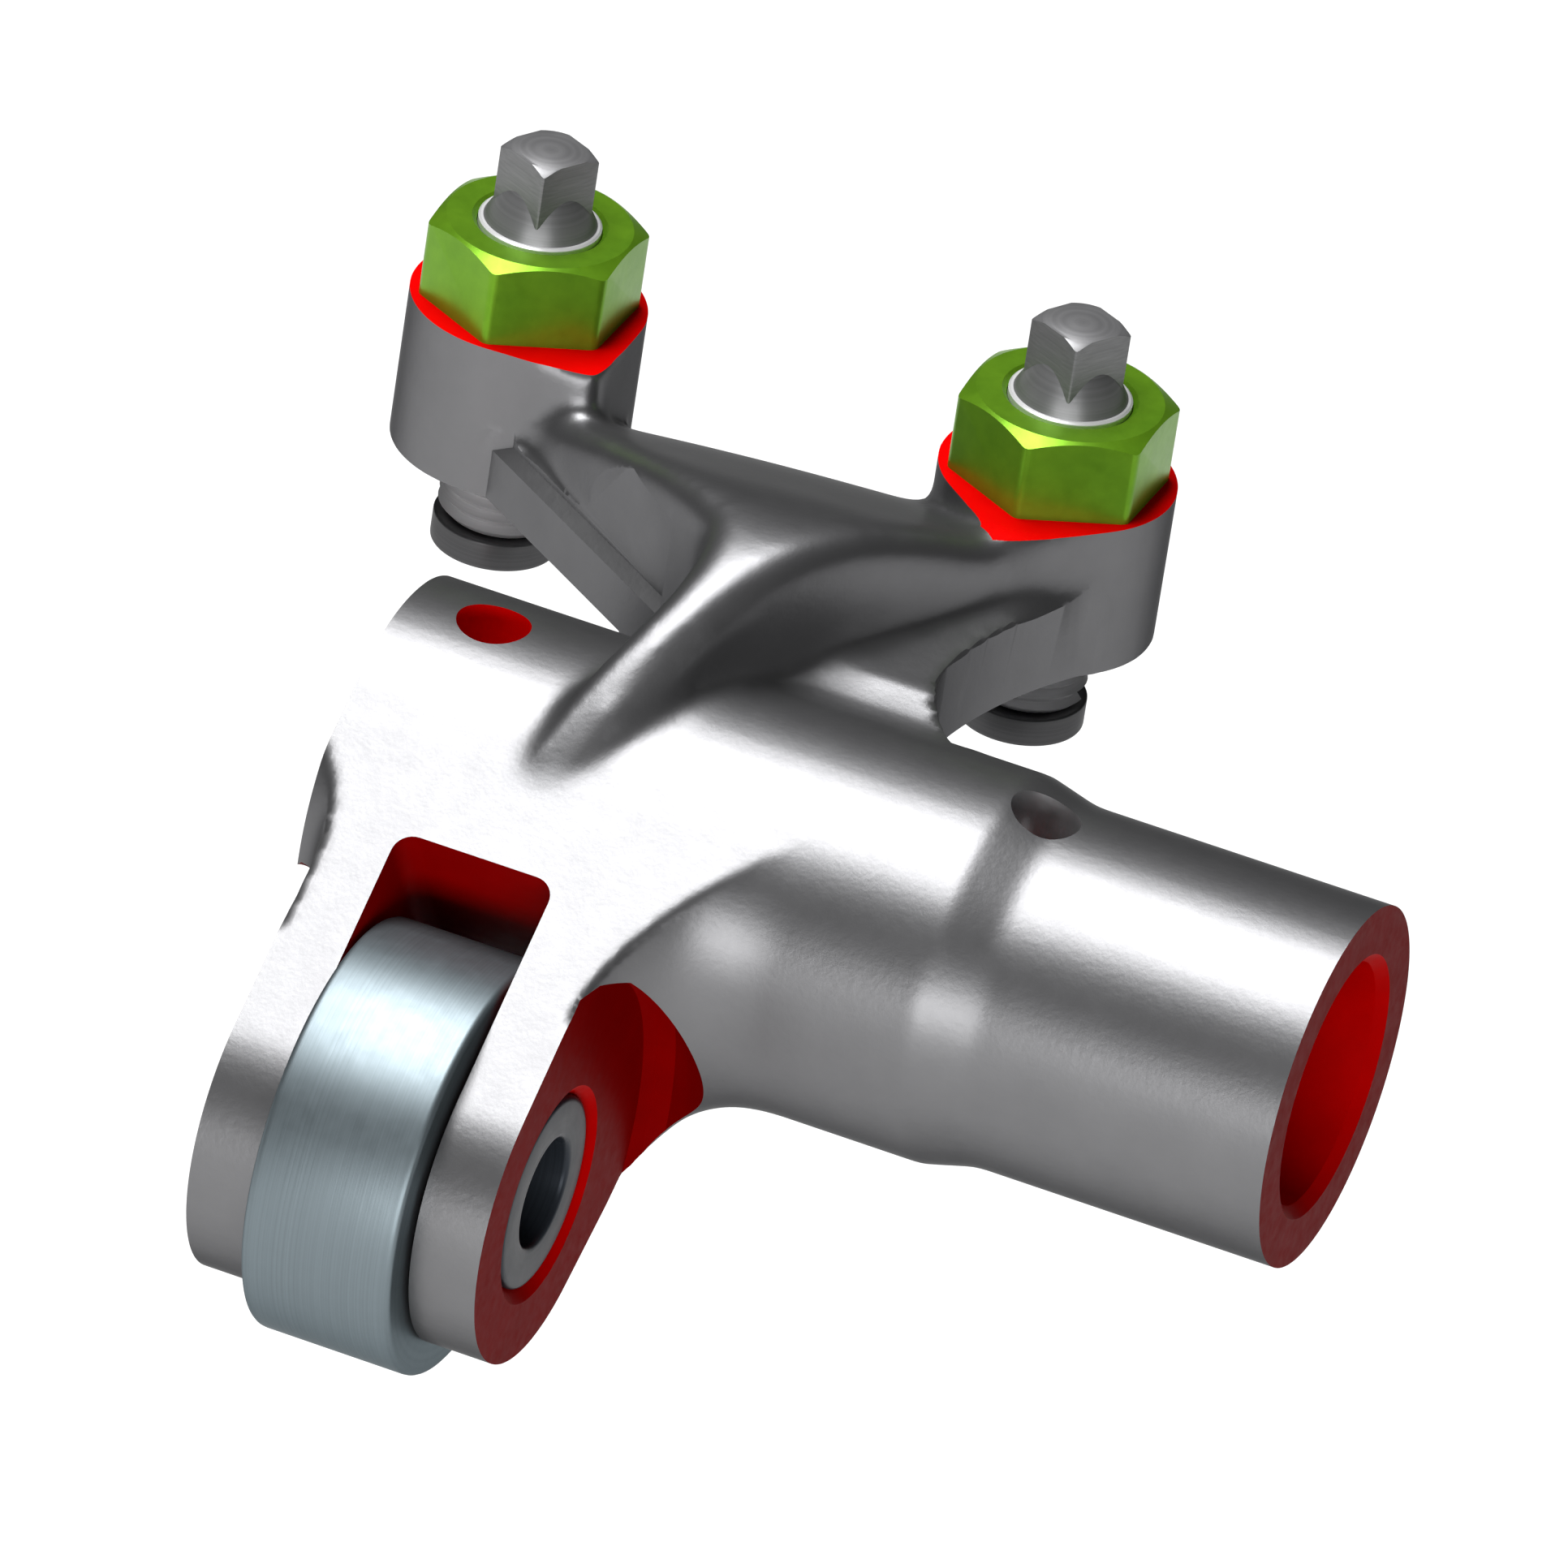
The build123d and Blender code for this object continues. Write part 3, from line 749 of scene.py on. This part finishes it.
def between(values, start, end):
    """Share from 0 to 1 of the way from start to end, held at both sides."""
    return np.clip((values - start) / (end - start), 0.0, 1.0)


def crest_height(points):
    """Height of the top line of the arm at each point in plan."""
    fall = np.maximum(0.0, CREST_FALL_FROM - points[:, 0]) * CREST_FALL
    level = np.interp(points[:, 1], CREST_Y, CREST_Z)
    return level - fall * between(points[:, 1], -9.0, 0.0)


def crest_share(points):
    """1 on the top edges of the arm and 0 away from them and at the bosses."""
    crest = crest_height(points)
    share = between(points[:, 2], crest - 4.0, crest - 2.4)
    share *= 0.06 + 0.94 * between(points[:, 1], -1.0, 8.0)
    for side in (-1, 1):
        away = np.hypot(points[:, 0] - side * SCREW_X, points[:, 1] - SCREW_Y)
        share *= between(away, BOSS_R + 0.3, BOSS_R + 2.5)
    return share * between(points[:, 2], HUB_R - 4.0, HUB_R - 1.0)


def fillet_share(points):
    """1 where the arm runs out in wide radii, and less where its inner corners are tight.

    These are its upper part beside the bosses, the left branch, the tip of the spine
    and the step of the hub.
    """
    x, y, z = points.T
    high = between(z, 10.5, 12.5) * between(y, 12.0, 17.0)
    left = between(-x, -3.0, 0.0) * between(y, 9.0, 12.0)
    spine = 1.0 - between(y, -4.0, 3.0)
    spine *= between(x, -3.0, -1.0) * between(-x, -7.0, -5.0) * between(z, 3.0, 4.0)
    step = between(x, 21.0, 23.0)
    return (1.0 - 0.75 * high) * (1.0 - 0.9 * left) * (1.0 - 0.75 * spine) * (1.0 - 0.85 * step)


def soft_radii(mesh):
    """Rounded crest, and soft radii in the inner corners of the forging."""
    points, _, ends = mesh_arrays(mesh)
    for _ in range(SKIN_SMOOTHING):
        points += SMOOTHING_STEP * (neighbour_mean(points, ends) - points)
    step = SMOOTHING_STEP * crest_share(points)[:, None]
    for _ in range(CREST_ROUNDS):
        points += step * (neighbour_mean(points, ends) - points)
    mesh.vertices.foreach_set("co", points.ravel())
    mesh.update()
    start, normals, ends = mesh_arrays(mesh)
    share = fillet_share(start)
    lift = np.zeros(len(start))
    for _ in range(FILLET_ROUNDS):
        points = start + normals * lift[:, None]
        pull = SMOOTHING_STEP * (neighbour_mean(points, ends) - points)
        lift = np.maximum(0.0, lift + share * np.einsum("ij,ij->i", pull, normals))
    points = start + normals * lift[:, None]
    mesh.vertices.foreach_set("co", points.ravel())
    mesh.update()


def forged_blank(finish):
    """Skin of the forging before machining."""
    pieces = [cad_copy("rocker_arm", finish), hub_stock(finish), fork_stock(finish)]
    pieces += [ear_stock(finish), boss_stock(-1, finish), boss_stock(1, finish)]
    pieces += flange_stock(finish) + [spine_bead(finish)]
    blank = joined("forged_rocker_arm", pieces)
    skin = blank.modifiers.new("skin", "REMESH")
    skin.mode = "VOXEL"
    skin.voxel_size = SKIN_GRID
    skin.use_smooth_shade = True
    settled(blank)
    soft_radii(blank.data)
    return blank


def facing_cutter(red, red_in_painted_shade):
    """Blocks that face both hub ends and both boss tops. The hub end blocks carry the darker
    copy of the red lacquer, which is painted shade.
    """
    square = square_corners(END_BLOCK_HALF)
    blocks = [
        lengthwise("end_face", square, start, END_BLOCK_DEPTH, red_in_painted_shade)
        for start in (HUB_LEFT - END_BLOCK_DEPTH, HUB_RIGHT)
    ]
    low, high = BOSS_TOP, BOSS_TOP + FACING_HEIGHT
    for side in (-1, 1):
        plan = circle((side * SCREW_X, SCREW_Y), BOSS_R + 0.6)
        face = upright("boss_face", plan, low, high, red)
        corner = upright("corner_face", corner_outline(side, 0.35), low, high, red)
        blocks.append(carved(face, corner, "UNION"))
    return joined("facing_cutter", blocks)


def bore_cutter(red):
    """Bore of the hub."""
    profile = bored(HUB_LEFT, HUB_RIGHT, BORE_R, BORE_CHAMFER)
    return turned("bore_cutter", profile, *HUB_AXIS, red, 160)


def slot_cutter(red):
    """Room for the roller, with rounded corners at its inner wall."""
    c, s = math.cos(AXLE_ANGLE), math.sin(AXLE_ANGLE)
    r = SLOT_CORNER_R
    outline = [(-SLOT_HALF, -3 * EAR_R), (SLOT_HALF, -3 * EAR_R)]
    outline += arc((SLOT_HALF - r, SLOT_END - r), r, 0, 90, 8)
    outline += arc((-SLOT_HALF + r, SLOT_END - r), r, 90, 180, 8)
    up = np.array((0, -s, c))
    start = np.array((0, AXLE_Y, AXLE_Z)) - up * 2 * EAR_R
    return extruded("slot_cutter", outline, start, up, (1, 0, 0), (0, c, s), 4 * EAR_R, red)


def spot_cutter(side, red):
    """Turned cut of one ear: flat outer face and a curved wall behind it."""
    turn = math.degrees(math.acos(SPOT_R / SPOT_SWEEP_R))
    wall = [(r, h) for h, r in arc((0, 0), SPOT_SWEEP_R, 90 - turn, 0, 24)]
    profile = [(0, EAR_OUT), (SPOT_R - SPOT_CORNER, EAR_OUT), (SPOT_R, EAR_OUT + SPOT_CORNER)]
    profile += [(SPOT_R, math.sqrt(SPOT_SWEEP_R ** 2 - SPOT_R ** 2))]
    profile += [p for p in wall if p[0] < SPOT_R - 0.05]
    profile = [(r, side * h) for r, h in profile]
    return turned("spot_cutter", profile, *AXLE_AXIS, red, 160)


def eye_cutter(red):
    """Bore through both ears for the axle."""
    profile = bored(-EAR_OUT, EAR_OUT, AXLE_R, EYE_CHAMFER)
    return turned("eye_cutter", profile, *AXLE_AXIS, red, 128)


def hole_cutter(red, bare):
    """Oil holes of the hub and tapped holes of the bosses."""
    pieces = []
    for (x, r), finish in ((OIL_LEFT, red), (OIL_RIGHT, bare)):
        hole = turned("oil_cutter", bar(0, 2 * HUB_R, r), "Z", (x, 0, 0), finish, 64)
        pieces.append(hole)
    for side in (-1, 1):
        hole = turned("tap_cutter", bar(0, BOSS_TOP + 3, TAP_R), *screw_axis(side), bare)
        pieces.append(hole)
    return joined("hole_cutter", pieces)


def forged_arm(forged, red, red_in_painted_shade, bare):
    """Forging with its machined faces, bores and holes."""
    body = forged_blank(forged)
    cutters = trim_cutters(forged)
    # The hub end faces, the roller slot and the ear faces take the darker copy of the red
    # lacquer: painted shade
    cutters += [facing_cutter(red, red_in_painted_shade), slot_cutter(red_in_painted_shade)]
    cutters += [spot_cutter(-1, red_in_painted_shade), spot_cutter(1, red_in_painted_shade)]
    cutters += [bore_cutter(red), eye_cutter(red), hole_cutter(red, bare)]
    for cutter in cutters:
        carved(body, cutter)
    placed(dressed(body, 30.0), "rocker", "forged_steel", "rocker_arm")


# Roller, needles and axle

def roller_ring(finish):
    """Outer ring of the cam roller."""
    profile = bar(-ROLLER_HALF_WIDTH, ROLLER_HALF_WIDTH, ROLLER_R, ROLLER_BORE_R)
    ring = turned("roller_outer_ring", eased(profile, 0.4, 4), *AXLE_AXIS, finish, 192)
    placed(dressed(ring), "roller", "roller_steel", "cam_roller")


def axle_tube(finish):
    """Hollow axle between the ears."""
    profile = bar(-AXLE_HALF_LENGTH, AXLE_HALF_LENGTH, AXLE_R, AXLE_BORE_R)
    tube = turned("hollow_roller_axle", eased(profile, 0.35, 4), *AXLE_AXIS, finish, 128)
    placed(dressed(tube), "rocker", "axle_steel", "roller_axle")


def new_tree(name, sizes):
    """Node group with named inputs for its sizes, and the outputs of its input node."""
    tree = bpy.data.node_groups.new(name, "GeometryNodeTree")
    tree.interface.new_socket("Geometry", in_out="OUTPUT", socket_type="NodeSocketGeometry")
    for label, value in sizes.items():
        kind = "NodeSocketInt" if isinstance(value, int) else "NodeSocketFloat"
        item = tree.interface.new_socket(label, in_out="INPUT", socket_type=kind)
        item.default_value = value
    return tree, tree.nodes.new("NodeGroupInput").outputs


def finish_tree(tree, geometry, finish):
    """End of a node group: plain geometry with its finish."""
    add = tree.nodes.new
    link = tree.links.new
    solid = add("GeometryNodeRealizeInstances")
    link(geometry, solid.inputs["Geometry"])
    coat = add("GeometryNodeSetMaterial")
    coat.inputs["Material"].default_value = finish
    link(solid.outputs["Geometry"], coat.inputs["Geometry"])
    link(coat.outputs["Geometry"], add("NodeGroupOutput").inputs["Geometry"])
    return tree


def needle_tree(sizes, finish):
    """Node group that sets needles side by side on a circle about X."""
    tree, given = new_tree("needle_circle", sizes)
    add = tree.nodes.new
    link = tree.links.new
    orbit = add("GeometryNodeMeshCircle")
    link(given["Needle count"], orbit.inputs["Vertices"])
    link(given["Circle radius"], orbit.inputs["Radius"])
    needle = add("GeometryNodeMeshCylinder")
    needle.inputs["Vertices"].default_value = 24
    link(given["Needle radius"], needle.inputs["Radius"])
    link(given["Needle length"], needle.inputs["Depth"])
    setting = add("GeometryNodeInstanceOnPoints")
    link(orbit.outputs["Mesh"], setting.inputs["Points"])
    link(needle.outputs["Mesh"], setting.inputs["Instance"])
    turn = add("GeometryNodeTransform")
    turn.inputs["Rotation"].default_value = (0.0, math.pi / 2, 0.0)
    turn.inputs["Translation"].default_value = (0.0, AXLE_Y, AXLE_Z)
    link(setting.outputs["Instances"], turn.inputs["Geometry"])
    return finish_tree(tree, turn.outputs["Geometry"], finish)


def thread_tree(sizes, finish):
    """Node group that winds a thread ridge up round Z from the origin."""
    tree, given = new_tree("thread_ridge", sizes)
    add = tree.nodes.new
    link = tree.links.new
    helix = add("GeometryNodeCurveSpiral")
    helix.inputs["Resolution"].default_value = 40
    link(given["Turns"], helix.inputs["Rotations"])
    link(given["Core radius"], helix.inputs["Start Radius"])
    link(given["Core radius"], helix.inputs["End Radius"])
    link(given["Length"], helix.inputs["Height"])
    level = add("GeometryNodeSetCurveNormal")
    level.mode = "Z_UP"
    link(helix.outputs["Curve"], level.inputs["Curve"])
    ridge = add("GeometryNodeCurvePrimitiveCircle")
    ridge.inputs["Resolution"].default_value = 4
    link(given["Ridge radius"], ridge.inputs["Radius"])
    sweep = add("GeometryNodeCurveToMesh")
    sweep.inputs["Fill Caps"].default_value = True
    link(level.outputs["Curve"], sweep.inputs["Curve"])
    link(ridge.outputs["Curve"], sweep.inputs["Profile Curve"])
    return finish_tree(tree, sweep.outputs["Mesh"], finish)


def grown(name, tree, sizes, finish):
    """Piece made by a node group from its named sizes, as a plain mesh."""
    piece = new_piece(name, [], [], finish)
    maker = piece.modifiers.new("maker", "NODES")
    maker.node_group = tree
    for item in tree.interface.items_tree:
        if item.in_out == "INPUT":
            maker[item.identifier] = sizes[item.name]
    return settled(piece)


def needle_set(finish):
    """Full circle of needles between the axle and the roller."""
    sizes = {
        "Needle count": NEEDLE_COUNT, "Circle radius": NEEDLE_ORBIT_R,
        "Needle radius": NEEDLE_R, "Needle length": NEEDLE_LENGTH,
    }
    needles = grown("needle_rollers_set", needle_tree(sizes, finish), sizes, finish)
    placed(dressed(needles), "needles", "needle_steel", "needle_rollers")


# Screws, nuts and feet

def turned_plan(outline, turn, side):
    """Plan outline turned about its middle and set on the screw of one side."""
    x = side * SCREW_X
    c, s = math.cos(math.radians(turn)), math.sin(math.radians(turn))
    return [(x + u * c - v * s, SCREW_Y + u * s + v * c) for u, v in outline]


def screw_drive(side, finish):
    """Square drive with its corners turned down at the top."""
    wide = SQUARE_ACROSS_FLATS
    outline = turned_plan(eased(square_corners(wide / 2), 0.2), SQUARE_TURN, side)
    drive = upright("square_drive", outline, NUT_TOP - 1.0, SQUARE_TOP, finish)
    fall = SQUARE_CORNER_DROP + (wide - SQUARE_CORNER_R) * SQUARE_TOP_SLOPE
    profile = [
        (0, NUT_TOP - 2.0), (wide, NUT_TOP - 2.0), (wide, SQUARE_TOP - fall),
        (SQUARE_TOP_R, SQUARE_TOP), (0, SQUARE_TOP),
    ]
    limit = turned("drive_limit", profile, *screw_axis(side), finish)
    return carved(drive, limit, "INTERSECT")


def screw_shank(side, finish):
    """Core of the screw with its cone and the socket of the foot."""
    shank_top = NUT_TOP - (THREAD_R - CONE_FOOT_R) / CONE_SLOPE
    flat_r = SQUARE_ACROSS_FLATS / 2
    cone_top = NUT_TOP + (CONE_FOOT_R - flat_r) / CONE_SLOPE
    core = THREAD_ROOT_R
    mouth_r = STUD_R + STUD_PLAY
    socket_r = STUD_HEAD_R + STUD_PLAY
    profile = [
        (mouth_r, SCREW_BOTTOM),
        (core - 0.1, SCREW_BOTTOM),
        (core, SCREW_BOTTOM + 0.1),
        (core, shank_top - 1.1),
        (THREAD_R, shank_top - 0.7),
        (THREAD_R, shank_top),
        (flat_r, cone_top),
        (0, cone_top),
        (0, STUD_TOP + STUD_PLAY),
        (socket_r, STUD_TOP + STUD_PLAY),
        (socket_r, STUD_HEAD_BOTTOM - STUD_PLAY),
        (mouth_r, STUD_HEAD_BOTTOM - STUD_PLAY),
    ]
    return turned("screw_shank", profile, *screw_axis(side), finish)


def screw_thread(side, finish):
    """Thread ridge of the screw over its core."""
    sizes = {
        "Turns": THREAD_LENGTH / THREAD_PITCH, "Length": THREAD_LENGTH,
        "Core radius": THREAD_ROOT_R, "Ridge radius": THREAD_R - THREAD_ROOT_R,
    }
    ridge = grown("thread_ridge", thread_tree(sizes, finish), sizes, finish)
    foot = (side * SCREW_X, SCREW_Y, SCREW_BOTTOM + THREAD_START)
    ridge.data.transform(Matrix.Translation(foot))
    return ridge


def thread_end(side, finish):
    """Last turn of the thread at the foot of the cone, in the brighter thread steel that is a
    painted highlight.
    """
    low, high = NUT_TOP - 0.6, NUT_TOP + 0.12
    inner = CONE_FOOT_R - 0.4
    profile = [
        (inner, low), (THREAD_R, low), (THREAD_R, high - 0.1),
        (THREAD_R - 0.12, high), (inner, high),
    ]
    return turned("thread_end", profile, *screw_axis(side), finish)


def adjusting_screw(side, name, finish, thread_highlight):
    """Adjusting screw with its thread, cone and square drive; the thread ridge and its last
    turn are a brighter copy of the screw steel, a painted highlight.
    """
    parts = [screw_shank(side, finish), screw_drive(side, finish)]
    parts += [screw_thread(side, thread_highlight), thread_end(side, thread_highlight)]
    screw = joined("adjusting_screw_" + name + "_threaded", parts)
    placed(dressed(screw), name + "_screw", "screw_steel", "adjusting_screw_" + name)


def lock_nut(side, name, finish):
    """Hexagon nut with its corners chamfered and its hole countersunk."""
    corner_r = NUT_ACROSS_FLATS / math.sqrt(3)
    hexagon = eased(arc((0, 0), corner_r, 0, 300, 5), NUT_EDGE)
    outline = turned_plan(hexagon, NUT_TURN, side)
    nut = upright("lock_nut_" + name + "_hexagon", outline, BOSS_TOP, NUT_TOP, finish)
    wide = corner_r + 0.3
    fall = (wide - NUT_FACE_R) * math.tan(math.radians(30))
    profile = [
        (TAP_R, BOSS_TOP - OVERCUT),
        (wide, BOSS_TOP - OVERCUT),
        (wide, NUT_TOP - fall),
        (NUT_FACE_R, NUT_TOP),
        (TAP_R + NUT_COUNTERSINK, NUT_TOP),
        (TAP_R, NUT_TOP - NUT_COUNTERSINK),
    ]
    limit = turned("nut_limit", profile, *screw_axis(side), finish, 144)
    carved(nut, limit, "INTERSECT")
    placed(dressed(nut, 24.0), name + "_nut", "nut_green", "lock_nut_" + name)


def swivel_foot(side, name, finish):
    """Contact disc under a screw, with its headed stud."""
    disc = eased(bar(FOOT_BOTTOM, FOOT_TOP, FOOT_R), 0.16, 4)
    stud = bar(STUD_BOTTOM, STUD_HEAD_BOTTOM, STUD_R)[:3]
    stud += bar(STUD_HEAD_BOTTOM, STUD_TOP, STUD_HEAD_R)[1:]
    parts = [
        turned("foot_disc", disc, *screw_axis(side), finish),
        turned("foot_stud", eased(stud, 0.1, 2), *screw_axis(side), finish, 64),
    ]
    foot = joined("swivel_foot_" + name + "_disc", parts)
    placed(dressed(foot), name + "_foot", "foot_steel", "swivel_foot_" + name)


# Floor, light and camera

def floor_finish():
    """Matt floor: mid grey for the light that it throws back, pale where it is seen."""
    material, tree, shader, _ = new_finish("pale_floor", (FLOOR_SEEN,) * 3, 0.0, 0.9)
    shader.inputs["Specular IOR Level"].default_value = 0.0
    path = tree.nodes.new("ShaderNodeLightPath")
    seen = path.outputs["Is Camera Ray"]
    for kind in ("Is Glossy Ray", "Is Transmission Ray"):
        either = tree.nodes.new("ShaderNodeMath")
        either.operation = "MAXIMUM"
        tree.links.new(seen, either.inputs[0])
        tree.links.new(path.outputs[kind], either.inputs[1])
        seen = either.outputs["Value"]
    pale = tree.nodes.new("ShaderNodeMixRGB")
    for colour, shade in (("Color1", FLOOR_THROWN), ("Color2", FLOOR_SEEN)):
        pale.inputs[colour].default_value = (shade, shade, shade, 1.0)
    tree.links.new(seen, pale.inputs["Fac"])
    tree.links.new(pale.outputs["Color"], shader.inputs["Base Color"])
    lift = tree.nodes.new("ShaderNodeMath")
    lift.operation = "MULTIPLY"
    lift.inputs[1].default_value = FLOOR_LIFT
    tree.links.new(seen, lift.inputs[0])
    shader.inputs["Emission Color"].default_value = (1.0, 1.0, 1.0, 1.0)
    tree.links.new(lift.outputs["Value"], shader.inputs["Emission Strength"])
    return material


def pale_floor():
    """Round floor well under the part."""
    ring = [(x, y, FLOOR_LEVEL) for x, y in circle((0, 0), FLOOR_R)]
    floor = new_piece("pale_floor", ring, [tuple(range(len(ring)))], floor_finish())


def pale_world(strength):
    """World that adds an even, low light from all sides."""
    world = bpy.data.worlds.new("pale_world")
    bpy.context.scene.world = world
    world.use_nodes = True
    soft = world.node_tree.nodes["Background"]
    soft.inputs["Color"].default_value = (1.0, 1.0, 1.0, 1.0)
    soft.inputs["Strength"].default_value = strength


def soft_lamp(name, direction, distance, width, length, level):
    """Rectangular soft lamp that gives about the stated light level at the part.

    Its width lies along Y in a lamp overhead and along X in a lamp at the front.
    """
    data = bpy.data.lights.new(name, "AREA")
    data.shape = "RECTANGLE"
    data.size = width
    data.size_y = length
    data.energy = level * (math.pi * distance) ** 2
    lamp = bpy.data.objects.new(name, data)
    bpy.context.scene.collection.objects.link(lamp)
    toward = Vector(direction).normalized()
    middle = Vector(((HUB_LEFT + HUB_RIGHT) / 2, 5.0, 2.0)) * MM
    lamp.location = middle + toward * distance
    lamp.rotation_euler = toward.to_track_quat("Z", "Y").to_euler()


def photo_camera():
    """Camera at the angle and distance of the photograph."""
    data = bpy.data.cameras.new("photo_camera")
    data.sensor_width = 36.0
    data.lens = CAMERA_LENS
    data.clip_start = 0.05
    data.clip_end = 20.0
    camera = bpy.data.objects.new("photo_camera", data)
    bpy.context.scene.collection.objects.link(camera)
    turn = Matrix((CAMERA_RIGHT, CAMERA_UP, CAMERA_BACK)).transposed().to_4x4()
    camera.matrix_world = Matrix.Translation(CAMERA_PLACE) @ turn
    bpy.context.scene.camera = camera


def arm_with_roller():
    """Forging, roller, needles and axle, each with its own finish."""
    forged, bare = forged_finish(), bare_cut_steel()
    red = red_lacquer("red_bore_lacquer", 0.68)
    # Darker copy of the same red lacquer: painted shade on the machined faces turned away from
    # the lamps
    red_in_painted_shade = red_lacquer("red_lacquer_in_painted_shade", 0.3)
    ring = turned_steel(
        "ground_roller_steel", (0.17, 0.205, 0.222), (0.20, 0.24, 0.26), 0.85, 0.42, *AXLE_AXIS
    )
    needle = turned_steel(
        "needle_steel", (0.5, 0.5, 0.52), (0.6, 0.6, 0.62), 0.9, 0.25, *AXLE_AXIS
    )
    tube = turned_steel(
        "dark_axle_steel", (0.03, 0.036, 0.045), (0.04, 0.048, 0.06), 0.3, 0.35, *AXLE_AXIS
    )
    forged_arm(forged, red, red_in_painted_shade, bare)
    roller_ring(ring)
    needle_set(needle)
    axle_tube(tube)


def screws_and_nuts():
    """Screw, nut and foot of both sides, each turned piece with rings about its own axis."""
    green = green_coat()
    for side, name in ((-1, "left"), (1, "right")):
        axis = screw_axis(side)
        screw = turned_steel(
            "screw_steel_" + name, (0.19, 0.19, 0.195), (0.24, 0.24, 0.245), 0.55, 0.38, *axis
        )
        # Brighter copy of the screw steel for the thread ridge: painted highlight where the
        # thread catches the front light
        thread_highlight = turned_steel(
            "thread_painted_highlight_" + name, (0.72, 0.72, 0.73), (0.80, 0.80, 0.81), 0.4, 0.35, *axis
        )
        disc = turned_steel(
            "foot_steel_" + name, (0.10, 0.10, 0.103), (0.13, 0.13, 0.133), 0.5, 0.4, *axis
        )
        adjusting_screw(side, name, screw, thread_highlight)
        lock_nut(side, name, green)
        swivel_foot(side, name, disc)


bpy.context.scene.view_settings.view_transform = "Standard"
arm_with_roller()
screws_and_nuts()
pale_floor()
pale_world(0.04)
soft_lamp("top_lamp", (-0.27, -0.02, 0.96), distance=1.1, width=1.05, length=0.45, level=1.6)
soft_lamp("front_lamp", (0.26, -0.96, 0.05), distance=1.1, width=1.1, length=0.35, level=0.65)
photo_camera()
